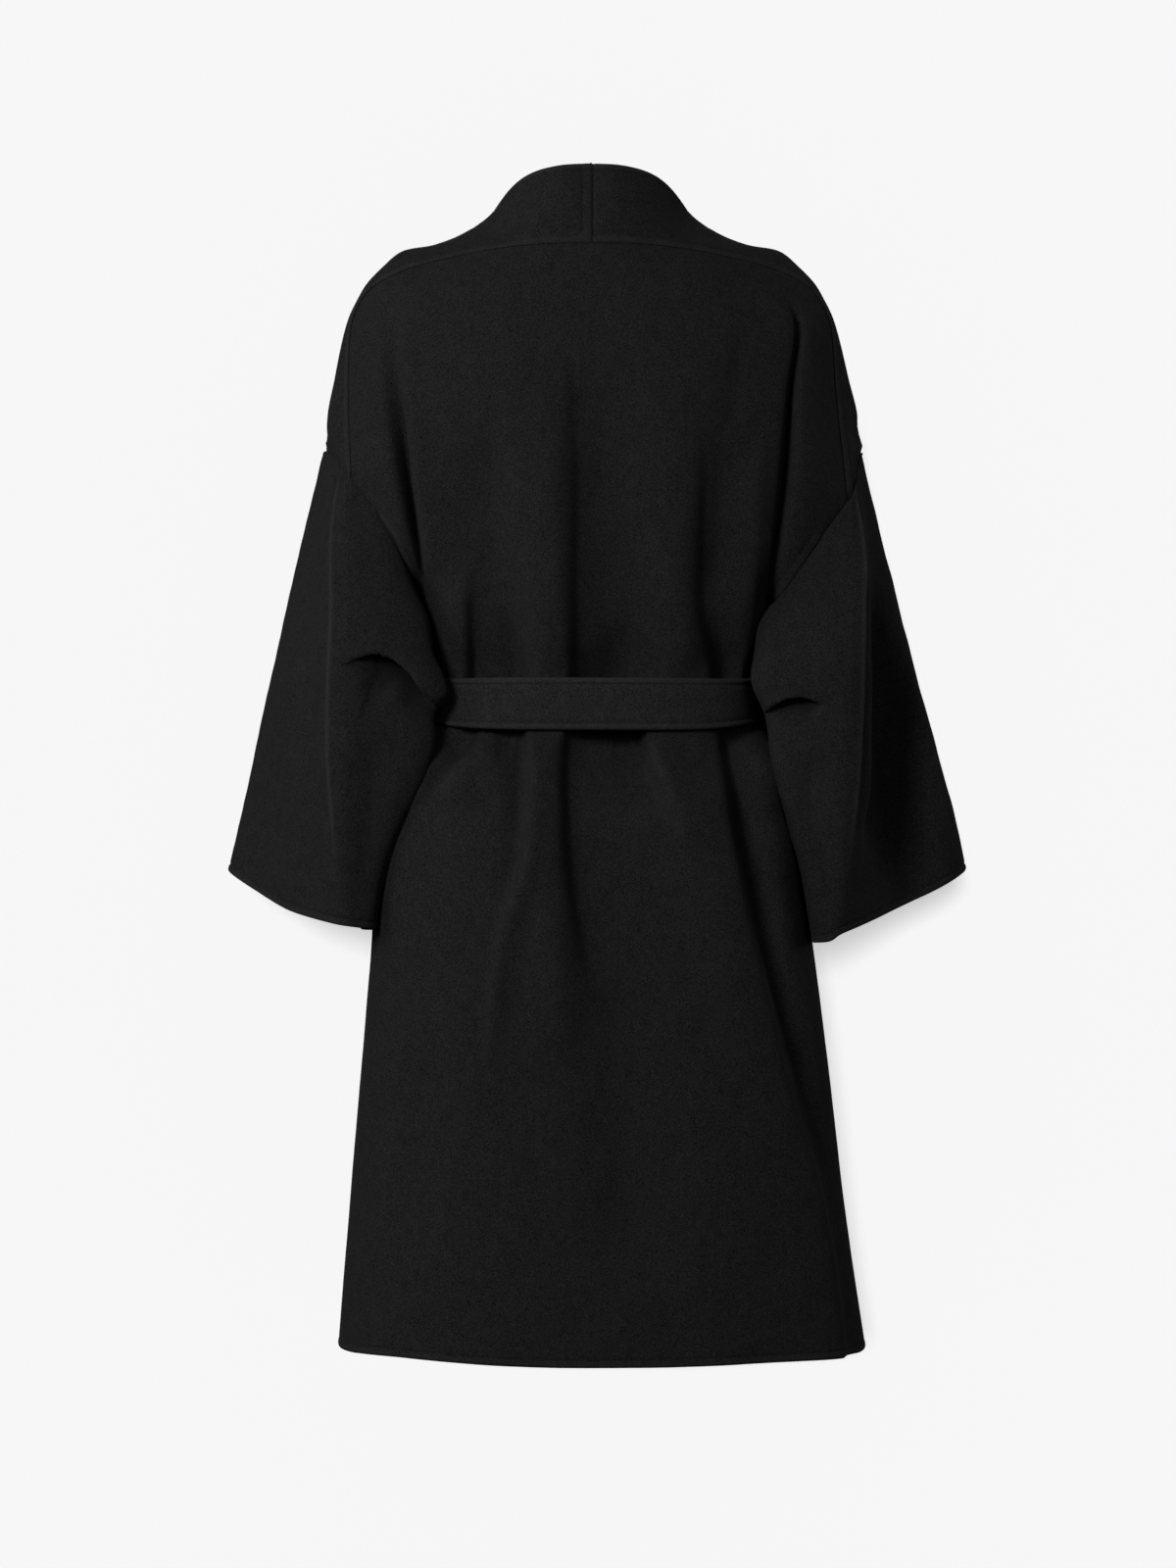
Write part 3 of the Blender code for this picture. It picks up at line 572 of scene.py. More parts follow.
# %% Creases of the back, in millimetres
BACK_CREASES = [
    # path as x, z away from the belt; spread to the left and right as seen from behind (below and above if
    # the path is level); depth inward along the path; length over which it fades in and out
    ([(116, -428), (115, -394), (115, -347), (112, -292)], 6, 22, (18, 13, 8, 2), 0, 50),
    ([(78, -428), (79, -394), (84, -347), (93, -292), (101, -217), (106, -150)],
     38, 18, (19, 19, 18, 17, 10, 3), 0, 70),
    ([(71, -428), (70, -394), (70, -347), (72, -292)], 18, 5, (9, 8, 5, 1), 0, 40),
    ([(32, -410), (32, -347), (36, -292), (38, -217), (40, -150)], 26, 14, (-4, -5, -5, -4), 0, 80),
    ([(14, -426), (14, -394), (14, -347), (13, -292), (13, -217), (17, -150), (20, -90)],
     8, 30, (10, 9, 7, 6, 5, 3, 1), 0, 60),
    ([(-20, -426), (-20, -347), (-16, -292), (-14, -217), (-8, -130), (-4, -70)],
     30, 40, (16, 16, 13, 10, 6, 2), 0, 90),
    ([(-27, -428), (-29, -394), (-32, -350)], 24, 5, (9, 8, 3), 0, 30),
    ([(-92, -410), (-86, -347), (-84, -292), (-84, -217)], 28, 12, (-5, -6, -5, -3), 0, 80),
    ([(-121, -426), (-117, -394), (-104, -347), (-104, -292), (-106, -217), (-102, -150)],
     6, 18, (14, 12, 10, 8, 5, 2), 0, 70),
    ([(-128, -426), (-122, -347), (-120, -292), (-122, -217), (-124, -150)],
     10, 20, (4, 5, 6, 5, 2), 0, 70),
    ([(-146, -424), (-150, -366), (-153, -300), (-157, -230), (-160, -160)],
     16, 8, (-7, -8, -8, -4), 0, 70),
    ([(-128, -190), (-132, -160), (-139, -105), (-140, -70)], 9, 12, 3, 30, 30),
    ([(-140, -418), (-134, -372)], 5, 5, 3, 0, 26),
    ([(115, -464), (128, -487), (144, -512), (163, -542)], 12, 5, (11, 11, 10, 5), 0, 26),
    ([(34, -470), (36, -487), (38, -533), (38, -589), (36, -662), (30, -727), (26, -809)],
     34, 20, (-7, -9, -11, -12, -11, -7, -3), 0, 100),
    ([(70, -462), (67, -487), (67, -533), (72, -589), (86, -640)], 15, 4, (17, 13, 8, 5, 1), 0, 40),
    ([(60, -468), (59, -487), (59, -533), (65, -589), (87, -662), (96, -727), (97, -809)],
     5, 16, (-6, -7, -8, -7, -5, -2), 0, 80),
    ([(20, -462), (23, -487), (23, -533), (20, -589), (8, -662), (-8, -727)],
     7, 32, (15, 14, 12, 9, 6, 2), 0, 70),
    ([(-39, -462), (-43, -480), (-54, -514), (-70, -545)], 46, 7, (25, 22, 13, 6), 0, 30),
    ([(-50, -470), (-60, -487), (-78, -533), (-98, -589)], 8, 22, (-4, -5, -5, -3), 0, 40),
    ([(-6, -540), (-12, -600), (-20, -662), (-24, -727), (-30, -813), (-34, -906), (-40, -1000)],
     34, 50, 7, 60, 90),
    ([(-114, -470), (-119, -533), (-131, -589), (-146, -662), (-163, -727), (-183, -809), (-211, -901),
      (-226, -993), (-233, -1060)], 44, 7, (0, -9, -12, -13, -14, -15, -14), 0, 0),
    ([(-127, -462), (-128, -487), (-137, -533), (-147, -589), (-160, -662), (-174, -727), (-194, -809),
      (-221, -901), (-236, -993), (-243, -1060)], 7, 18, (19, 18, 16, 15, 13, 10, 8), 0, 0),
    ([(-168, -600), (-184, -662), (-202, -726), (-226, -809), (-248, -901), (-262, -993), (-268, -1060)],
     24, 40, (-6, -9, -9, -9), 60, 0),
    ([(162, -746), (167, -870), (172, -976)], 25, 25, 4, 60, 60),
    ([(102, -466), (111, -490), (125, -516), (142, -550)], 10, 18, (-5, -5, -5, -3), 4, 30),
    ([(176, -480), (194, -560), (206, -640), (212, -700)], 26, 32, (-8, -10, -6), 20, 60),
    ([(-176, -480), (-192, -560), (-206, -640)], 28, 22, (-6, -8, -3), 20, 50),
    ([(90, -462), (83, -506)], 6, 5, 3, 0, 30),
]

# %% Grid of the back, from the wearer's right to the left
# metres that the hem rises on the left and on the right, and what makes its curve 1 at the highest point
HEM_LIFT, HUMP = (0.0055, 0.0030), 9.48


def back_half(side):
    """Marks of one half of the back."""
    upper = [row[:3] + arm + row[3:] for row, arm in zip(BACK_UPPER, BESIDE_ARM[side])]
    return body_net(BACK_RAILS, True, side) + upper + [BACK_TOP]


left_net, right_net = back_half(1), back_half(-1)
for row, mark in enumerate(RIGHT_ARMHOLE, UNDERARM + 1):
    right_net[row][-1] = mark
back_net = np.array([[(-x, y, z) for x, y, z in r[:0:-1]] + l for l, r in zip(left_net, right_net)])
back_rows = even_steps(back_net[:, 6], BACK_SPACING[0], True, True, keep=(UNDERARM, BACK_JOINT))
back_columns = even_steps(back_net[4], BACK_SPACING[1], True, True, keep=(2, 3, 5, 6, 7, 9, 10))
back = loft(back_net, back_rows, back_columns)
for column in (0, -1):
    pin_edge(back, column, back_rows, back_columns, back_net, BACK_JOINT)
lean_over(back)
out = -outward(back)
depth = press_at_belt(crease_depth(back, BACK_CREASES), back) + uneven(back, 0.0005)
fold_way = unit(out * (0.15, 0, 0.3) + np.maximum(out[..., 1:2], 0.5) * (0, 1, 0))
flare = out * flare_under_belt(back)[..., None]
back -= fold_way * (depth * ramp(out[..., 1], -0.2, 0.2))[..., None] - flare
# the hem rises a little to each side of the centre, most at three quarters of the way
beside = np.clip(abs(back[..., 0]) / BODY_SECTIONS[0][1], 0, 1)
lifted = np.where(back[..., 0] > 0, *HEM_LIFT) * HUMP * beside**3 * (1 - beside)
back[..., 2] += lifted * ramp(back[..., 2], -0.93, -1.058)
print("back: %d rows, %d columns" % back.shape[:2])

# %% [markdown]
# ## The fronts and their collar
# Each front runs over the shoulder to the back neck, where its grown-on collar meets the other half in
# the centre back seam. The right front laps over the left. The creases here are not seen in the view from
# behind, so they are of the same kind as on the back, and uneven.

# %% Creases of the fronts, in millimetres
FRONT_CREASES = [
    ([(30, -416), (48, -300), (80, -180)], 20, 28, 9, 0, 100),
    ([(-52, -416), (-70, -310), (-90, -200)], 24, 24, 8, 0, 90),
    ([(104, -416), (112, -350), (118, -290)], 12, 16, 7, 0, 60),
    ([(-108, -416), (-113, -340), (-118, -270)], 14, 10, 8, 0, 60),
    ([(78, -416), (84, -372)], 6, 6, 3, 0, 30),
    ([(-84, -416), (-90, -380)], 6, 6, 3, 0, 26),
    ([(104, -464), (134, -660), (170, -980)], 26, 32, 12, 0, 160),
    ([(-106, -464), (-140, -700), (-176, -1020)], 30, 24, 12, 0, 160),
    ([(76, -464), (82, -520)], 8, 8, 4, 0, 40),
    ([(-78, -464), (-88, -530)], 9, 7, 4, 0, 44),
    ([(128, -464), (150, -530)], 8, 8, 5, 0, 50),
    ([(-132, -464), (-152, -520)], 8, 8, 5, 0, 44),
]


# %% Grids of the fronts and the collar halves
def follow(line, known, at):
    """Points along a line whose counts are known, at other counts."""
    return np.stack([np.interp(at, known, line[:, k]) for k in range(3)], axis=1)


def back_edge(side):
    """The outer edge of the back on one side."""
    return back[:, -1 if side > 0 else 0]


# metres from the neck corner to the centre back, and across the first span of a front, which ends at the
# neck corner, and the part of that span where finer columns start
COLLAR_HALF, FIRST_SPAN, FINER_FROM = 0.078, 0.075, 0.80
# metres to each side of the turn into the collar that are rounded, and how softly
BEND_REACH, BEND_SOFT = 0.12, 0.032
# places above the armhole where the cloth is pushed out over the arm, in metres
ARM_CAPS = [
    ((0.2600, -0.004, -0.1865), (0.020, 0.022, 0.0075), (0.0062, 0.0, 0.0)),
    ((-0.2600, -0.004, -0.1865), (0.020, 0.022, 0.0075), (-0.0040, 0.0, 0.0)),
    ((-0.2580, 0.005, -0.1700), (0.020, 0.030, 0.0120), (0.0030, 0.0, 0.0)),
]


def front_grids(side):
    """One front and its collar half: side is 1 for the wearer's left."""
    net = np.array(body_net(FRONT_RAILS, False, side) + FRONT_UPPER)
    if side < 0:
        net[FRONT_JOINT, -1] = RIGHT_ARMHOLE[-1]
    net = net * (side, 1, 1)
    rows = even_steps(net[:, 2], FRONT_SPACING[0], True, True, keep=(UNDERARM, FRONT_JOINT))
    columns = even_steps(net[4], FRONT_SPACING[1], True, True)
    columns = columns[(columns < FINER_FROM) | (columns > 1.0)]
    columns = np.sort(np.concatenate([columns, 1 - BESIDE_EDGE / FIRST_SPAN]))
    grid = loft(net, rows, columns)
    pin_edge(grid, -1, rows, columns, net, FRONT_JOINT)
    grid = lean_over(pushed(grid, ARM_CAPS))
    out = outward(grid) * side
    depth = press_at_belt(crease_depth(grid, FRONT_CREASES), grid) + uneven(grid, 0.0006)
    grid -= out * (depth * ramp(-out[..., 1], 0.1, 0.6) - flare_under_belt(grid))[..., None]
    if side > 0:
        step = ramp(columns, 2.73, 1.6) * ramp(grid[..., 2], -0.13, -0.20)
        grid -= out * (LAP_STEP * step)[..., None]

    low = rows <= UNDERARM
    high = rows >= FRONT_JOINT
    grid[low, -1] = follow(back_edge(side), back_rows, rows[low])
    grid[high, -1] = follow(back_edge(side), back_rows, rows[high] - FRONT_JOINT + BACK_JOINT)
    over = columns >= 1
    seam = follow(back[-1], back_columns, CENTRE_BACK + side * back_column(columns[over]))
    grid[:, over] += ramp(rows, FRONT_TOP - 0.6, FRONT_TOP)[:, None, None] * (seam - grid[-1, over])

    first = int(np.argmax(over))
    count = even_steps([(0, 0, 0), (0, COLLAR_HALF, 0)], COLLAR_SPACING, False, True)
    neck = follow(back[-1], back_columns, CENTRE_BACK + side * (1 - count))
    start = grid[-1, : first + 1].copy()
    lead = lean_over(smooth_line(net[:, 0], [FRONT_TOP - 0.5]))[0]
    top = smooth_line([lead, start[0], COLLAR_TOP_BACK], 1 + count)
    top[:, 1] += 0.007 * np.sin(np.pi * count)
    share = (columns[: first + 1] / columns[first])[:, None]
    bow = start - (start[0] + (start[-1] - start[0]) * share)
    collar = np.array([t + (n - t) * share + bow * (1 - c) for t, n, c in zip(top, neck, count)])
    ease_bend(grid, collar, first)
    return grid, collar, rows


def ease_bend(grid, collar, first):
    """Rounds the turn from the front into its collar half."""
    turn = len(grid) - 1
    for j in range(first):
        line = np.concatenate([grid[:, j], collar[1:, j]])
        run = walked(line)
        run -= run[turn]
        near = abs(run) < BEND_REACH
        pull = np.exp(-(((run[near][:, None] - run) / BEND_SOFT) ** 2)) * np.gradient(run)
        mean = pull @ line / pull.sum(axis=1, keepdims=True)
        above = ramp(run[near], run[-1], 0.4 * run[-1])
        ends = np.where(run[near] > 0, above, ramp(run[near], -0.10, -0.04))
        amount = (1 - (j / first) ** 5) * ends
        line[near] += (mean - line[near]) * amount[:, None]
        grid[:, j] = line[: turn + 1]
        collar[:, j] = line[turn:]


def back_column(columns):
    """Where a front's column meets the back on the shoulder seam, in spans from the centre back."""
    return np.interp(columns, [1, 2, 3, 4, 6], [1, 2, 4, 5, 6])


left, left_collar, front_rows = front_grids(1)
right, right_collar, front_rows = front_grids(-1)
print("front: %d rows, %d columns; collar half: %d rows" % (*left.shape[:2], len(left_collar)))

# %% [markdown]
# ## The sleeves
# A wide sleeve hangs from a dropped armhole, flat front and back, with a soft ridge behind where the
# cloth turns, lightened along its line by a painted highlight. Where it is squeezed between the arm and
# the belt it rolls over into a rounded lip with a dark hollow under it, darkened further by painted shade.
# Those are the two shapes that make the sleeve read as thick wool.

# %% Marks of the sleeve, in metres
SLEEVE_SECTIONS = [
    # under seam, inner back, back, ridge, hollow, outside, three in front
    [(0.181, 0.000, -0.396), (0.153, 0.093, -0.402), (0.197, 0.108, -0.396), (0.254, 0.104, -0.386),
     (0.274, 0.034, -0.380), (0.3075, -0.022, -0.376), (0.284, -0.086, -0.380), (0.226, -0.104, -0.390),
     (0.188, -0.076, -0.398)],
    [(0.197, 0.000, -0.500), (0.171, 0.100, -0.500), (0.206, 0.113, -0.497), (0.2535, 0.111, -0.490),
     (0.284, 0.030, -0.482), (0.332, -0.030, -0.475), (0.304, -0.095, -0.480), (0.240, -0.114, -0.490),
     (0.192, -0.081, -0.500)],
    [(0.216, 0.000, -0.583), (0.196, 0.100, -0.585), (0.217, 0.112, -0.580), (0.249, 0.111, -0.570),
     (0.290, 0.030, -0.556), (0.348, -0.036, -0.545), (0.314, -0.100, -0.552), (0.250, -0.117, -0.570),
     (0.208, -0.085, -0.581)],
    [(0.226, 0.000, -0.656), (0.209, 0.094, -0.653), (0.224, 0.105, -0.651), (0.2465, 0.104, -0.647),
     (0.297, 0.034, -0.628), (0.3615, -0.040, -0.594), (0.325, -0.104, -0.604), (0.260, -0.119, -0.634),
     (0.217, -0.085, -0.650)],
]

# how far each mark of the cuff hangs below the marks above, left side and right side
CUFF_DROP = {
    1: (0, 0, 0, 0.001, 0.006, 0.006, 0.003, 0, 0),
    -1: (0.009, 0.013, 0.013, 0.011, 0.007, 0.005, 0.007, 0.009, 0.009),
}
# how far each ridge mark lies outside the marks above, left side and right side
RIDGE_SHIFT = {1: (-0.0045, -0.0025, -0.0035, -0.0020), -1: (0.0020, 0.0000, -0.0046, -0.0120)}
# how far the inner back moves from the body, level with the belt and a hand below it
SLEEVE_TUCK = {1: (-0.0125, -0.013), -1: (0.004, 0.001)}

# %% Creases of the sleeves, in millimetres
LEFT_SLEEVE_CREASES = [
    # a path that runs to the right spreads below with its first width and above with its second
    ([(226, -408), (204, -411), (182, -428)], 26, 16, (6, 9, 8), 26, 20),
    ([(288, -420), (300, -520), (308, -600)], 16, 16, 3, 40, 40),
    ([(205, -470), (214, -560), (222, -640)], 16, 14, 3, 40, 30),
]
RIGHT_SLEEVE_CREASES = [
    ([(-264, -310), (-269, -361), (-267, -415), (-264, -470), (-259, -543), (-252, -600), (-243, -640)],
     6, 20, 14, 50, 60),
    ([(-200, -480), (-212, -570), (-222, -650)], 14, 16, 3, 40, 30),
]
SLEEVE_FRONT_CREASES = [
    ([(250, -330), (262, -450), (270, -600)], 18, 22, 5, 50, 70),
    ([(214, -392), (196, -402), (180, -420)], 10, 10, 7, 12, 12),
    ([(-252, -320), (-262, -450), (-268, -590)], 22, 18, 5, 50, 70),
    ([(-182, -424), (-198, -410), (-216, -404)], 10, 10, 7, 12, 12),
]

# lines over which the squeezed cloth rolls, in millimetres
ROLLS = {
    # side: path, spread above and below it, height above and depth below along it, how far it hangs over
    1: (
        [(240, -404), (224, -396), (204, -391), (179, -404), (163, -425), (153, -437), (146, -446)],
        20, 14, (0, 2, 5, 6, 7, 4, 0), (0, 5, 16, 17, 15, 9, 0), 3.5,
    ),
    -1: (
        [(-158, -452), (-166, -443), (-174, -438), (-183, -434), (-194, -432), (-206, -435), (-217, -442)],
        12, 9, (0, 4, 5, 5, 4, 3, 0), (0, 7, 13, 16, 16, 10, 0), 2.5,
    ),
}

# where the squeezed sleeve is pushed towards the body and over the belt, in metres
SLEEVE_PUSHES = {
    # side: place, how far it spreads each way, how far it is pushed
    1: [
        ((0.150, 0.092, -0.418), (0.024, 0.034, 0.020), (-0.009, 0.004, -0.002)),
        ((0.166, 0.040, -0.362), (0.016, 0.050, 0.026), (-0.008, 0.000, 0.000)),
        ((0.187, -0.020, -0.440), (0.020, 0.075, 0.050), (-0.014, 0.000, 0.000)),
        ((0.284, 0.030, -0.470), (0.034, 0.050, 0.180), (0.009, 0.028, 0.000)),
        ((0.243, 0.080, -0.265), (0.030, 0.050, 0.060), (0.0060, 0.000, 0.000)),
        ((0.150, 0.095, -0.429), (0.016, 0.030, 0.009), (-0.004, 0.000, -0.003)),
        ((0.156, 0.088, -0.450), (0.016, 0.030, 0.014), (0.006, 0.000, 0.000)),
    ],
    -1: [
        ((-0.156, 0.086, -0.418), (0.022, 0.030, 0.016), (0.003, 0.004, -0.002)),
        ((-0.166, 0.040, -0.362), (0.016, 0.050, 0.026), (0.008, 0.000, 0.000)),
        ((-0.174, 0.000, -0.358), (0.016, 0.040, 0.018), (0.009, 0.000, 0.000)),
        ((-0.284, 0.030, -0.490), (0.034, 0.045, 0.130), (0.015, 0.006, 0.000)),
        ((-0.336, -0.030, -0.500), (0.030, 0.060, 0.180), (0.000, 0.042, 0.000)),
        ((-0.290, 0.010, -0.350), (0.040, 0.060, 0.060), (0.000, 0.022, 0.000)),
        ((-0.346, -0.020, -0.570), (0.030, 0.070, 0.070), (-0.006, 0.000, 0.000)),
        ((-0.187, -0.030, -0.450), (0.036, 0.060, 0.040), (0.034, 0.000, 0.000)),
        ((-0.243, 0.085, -0.285), (0.030, 0.050, 0.075), (-0.0080, 0.000, 0.000)),
    ],
}


# %% Grids of the sleeves
BESIDE_RIDGE = np.array([0, 1.0, 2.0, 3.0, 4.2, 5.6, 7.4]) / 1000
# counts round the sleeve, from the seam under the arm: at the armhole corner, the ridge and the whole way
CORNER, RIDGE, ROUND = 5.2, 6, 17
RIDGE_HEIGHT, RIDGE_WIDTH = 0.0022, 0.0034
# share of painted shade that darkens the nap under a roll, and what counts as on its line, in millimetres
ROLL_SHADE_SHARE = 0.75
ON_LINE = (-2.0, 0.5)
# how far from that line the overhang and the softened lip reach, in millimetres
HANG_FADES, LIP_SOFT = 8, 5


def roll_over(grid, out, roll):
    """Cloth above a line hangs over the cloth below it, and the nap below gets painted shade."""
    path, above, below, raised, hollow, hang = roll
    shape = grid.shape[:2]
    flat = grid[..., [0, 2]].reshape(-1, 2) * 1000
    best, share, _, turn, across = beside_line(flat, path)
    marks = np.linspace(0, 1, len(raised))
    seen = ramp(out[..., 1].ravel(), 0.0, 0.3)
    firm = np.interp(share, marks, hollow) / max(hollow) * seen
    now = np.where(turn > 0, best, -best)
    then = np.where((now > ON_LINE[0]) & (now < ON_LINE[1]), 0, now)
    then = then + np.where(then > 0, -1, 1) * hang * firm * np.exp(-((then / HANG_FADES) ** 2))
    slide = ((then - now) * np.sign(turn) / (best + 1e-6))[:, None] * across
    up = np.interp(share, marks, raised) * np.exp(-((best / above) ** 2)) * seen
    down = max(hollow) * firm * np.exp(-((best / below) ** 2))
    under = now >= ON_LINE[1]
    move = np.stack([slide[:, 0], np.where(under, -down, up), slide[:, 1]], axis=1)
    grid = grid + move.reshape(grid.shape) / 1000
    # painted shade darkens the nap in the hollow under the roll
    painted_shade = ROLL_SHADE_SHARE * under * firm * np.exp(-((best / (1.7 * below)) ** 2))
    soft = (0.5 * firm * np.exp(-((now / LIP_SOFT) ** 2))).reshape(*shape, 1)
    for _ in range(3):
        mean = sum(np.roll(grid, step, axis) for step in (1, -1) for axis in (0, 1)) / 4
        grid = grid + soft * (mean - grid)
    return grid, painted_shade.reshape(shape)


def twice_as_fine(steps, start, end):
    """Adds a step midway between those in a range."""
    close = steps[(steps > start) & (steps < end)]
    return np.sort(np.concatenate([steps, (close[1:] + close[:-1]) / 2]))


def sleeve_grid(side, front, creases):
    """One sleeve, its first ring taken from the armhole, with a painted highlight on its ridge and painted
    shade under its roll.
    """
    sections = []
    for drop, shift, section in zip((0.0, 0.2, 0.6, 1.0), RIDGE_SHIFT[side], SLEEVE_SECTIONS):
        points = np.array(section) * (side, 1, 1)
        points[3, 0] += side * shift
        points[:, 2] -= np.array(CUFF_DROP[side]) * drop
        sections.append(points)
    middle = smooth_line(sections, [0.5])[0]
    middle[1, 0] += side * SLEEVE_TUCK[side][0]
    sections[1][1, 0] += side * SLEEVE_TUCK[side][1]
    sections.insert(1, middle)
    fine = np.linspace(0, ROUND, 600)
    spans = np.interp(fine, [0, 2, 4, RIDGE, 8, 9, 11, 13, 15, ROUND], range(10))
    run = walked(smooth_line(sections[2], spans, closed=True))
    stops = np.linspace(0, run[-1], 201)[:-1]
    ridge_run = np.interp(RIDGE, fine, run)
    stops = stops[abs(stops - ridge_run) > BESIDE_RIDGE[-1] + 0.0015]
    stops = np.sort(np.concatenate([stops, ridge_run + BESIDE_RIDGE, ridge_run - BESIDE_RIDGE[1:]]))
    turn = twice_as_fine(np.interp(stops, run, fine), 0.2, 5.0)
    turn[nearest(turn, CORNER)] = CORNER
    spans = np.interp(turn, fine, spans)
    behind = follow(back_edge(side), back_rows, UNDERARM + turn * (BACK_JOINT - UNDERARM) / CORNER)
    front_marks = range(FRONT_JOINT, UNDERARM - 1, -1)
    before = follow(front[:, -1], front_rows, np.interp(turn, [CORNER, 9, 11, 13, 15, ROUND], front_marks))
    ring = np.where((turn <= CORNER)[:, None], behind, before)
    levels = np.array([ring] + [smooth_line(points, spans, closed=True) for points in sections])
    rows = even_steps(levels[:, nearest(turn, 4)], SLEEVE_SPACING, True, True)
    rows = twice_as_fine(rows, 0.75, 2.2)
    grid = smooth_line(levels, rows)
    hung = np.linalg.norm(grid - grid[0], axis=-1)
    grid = pushed(grid, SLEEVE_PUSHES[side], ramp(hung, 0.0, 0.012))
    hung = ramp(hung, 0.004, 0.03)
    out = outward(grid, closed=True) * side
    top = nearest(turn, RIDGE)
    ridge = np.linalg.norm(grid - grid[:, top : top + 1], axis=-1)
    ridge = np.exp(-((ridge / RIDGE_WIDTH) ** 2)) * (ramp(rows, 0.0, 0.16) * ramp(rows, 4.6, 3.4))[:, None]
    grid = grid + out * (RIDGE_HEIGHT * ridge)[..., None]
    depth = crease_depth(grid, creases) * ramp(out[..., 1], 0.0, 0.3)
    depth = depth + crease_depth(grid, SLEEVE_FRONT_CREASES) * ramp(-out[..., 1], 0.0, 0.4)
    grid = grid - out * ((depth + uneven(grid, 0.0005)) * hung)[..., None]
    grid, painted_shade = roll_over(grid, out, ROLLS[side])
    # colour of the nap: a painted highlight along the ridge, and painted shade under the roll
    return grid, 0.3 * ridge - painted_shade


left_sleeve, left_painted_light = sleeve_grid(1, left, LEFT_SLEEVE_CREASES)
right_sleeve, right_painted_light = sleeve_grid(-1, right, RIGHT_SLEEVE_CREASES)
print("sleeve: %d rows, %d columns" % left_sleeve.shape[:2])

# %% [markdown]
# ## Sewing the edges
# Double-faced wool is sewn without lining: free edges are split, turned in and stitched, which leaves a
# soft rim and a groove 6 to 7 mm inside it. Seams are lapped, one edge on the other as a raised band, or
# plain, or flush where they hardly show. All could be drawn in the material, but a raised edge has to catch
# the light from any side, so it is modelled.

# %% Relief beside an edge, in millimetres from it
def edge_relief(kind, d):
    """Height of the outer face, and of the inner face, beside an edge."""
    if kind == "free":
        lift = 0.45 * np.exp(-(((d - 3.2) / 2.4) ** 2)) - 0.75 * np.exp(-(((d - 6.6) / 1.0) ** 2))
        lift = lift - 0.5 * ramp(d, 1.4, 0.0)
        return lift, -lift
    if kind == "over":
        band = 0.7 * ramp(d, 7.4, 5.4)
        lift = band - 0.4 * np.exp(-(((d - 7.8) / 1.1) ** 2)) - 0.4 * ramp(d, 1.2, 0.0)
        return lift, band
    if kind == "under":
        lift = -1.1 * ramp(d, 5.0, 2.0)
        return lift, lift
    lift = -(0.35 if kind == "flush" else 0.9) * np.exp(-((d / 1.3) ** 2))
    return lift, -lift


def distance_to(lines, points):
    """Millimetres from each point to the nearest of some lines."""
    dense = []
    for line in lines:
        run = walked(line)
        dense.append(follow(line, run, np.arange(0, run[-1], 0.0005)))
    dense = np.concatenate(dense)
    tree = KDTree(len(dense))
    for i, point in enumerate(dense):
        tree.insert(point, i)
    tree.balance()
    return np.array([tree.find(point)[2] for point in points]) * 1000


# %% From a grid to a closed cloth wall
# how far a lapped or flush edge reaches past its seam, how far others stay back, and the rim's roundness
PAST_SEAM, OFF_SEAM, ROUND_RIM = 0.0011, 0.00015, 0.0005
# how much lighter the nap is on a band beside an edge, for wear and painted highlight, and where that
# starts and ends, in millimetres from the edge
EDGE_WEAR_AND_HIGHLIGHT = {"over": (0.14, 6.0, 3.5), "free": (0.15, 5.5, 2.5)}
# least and most that relief moves a face, in millimetres
RELIEF = (-1.3, 1.6)


def numbered(rows, columns):
    """Numbers of the points of a grid."""
    return np.arange(rows * columns).reshape(rows, columns)


def cells_of(number, closed=False):
    """Four-sided cells between numbered grid points."""
    after = np.roll(number, -1, axis=1)
    cells = np.stack([number[:-1], after[:-1], after[1:], number[1:]], axis=-1)
    if not closed:
        cells = cells[:, :-1]
    return cells.reshape(-1, 4)


def rim_of(cells):
    """Directed edges that only one cell uses."""
    edges = np.concatenate([cells[:, [k, (k + 1) % 4]] for k in range(4)])
    keys = np.sort(edges, axis=1)
    _, where, count = np.unique(keys, axis=0, return_index=True, return_counts=True)
    return edges[where[count == 1]]


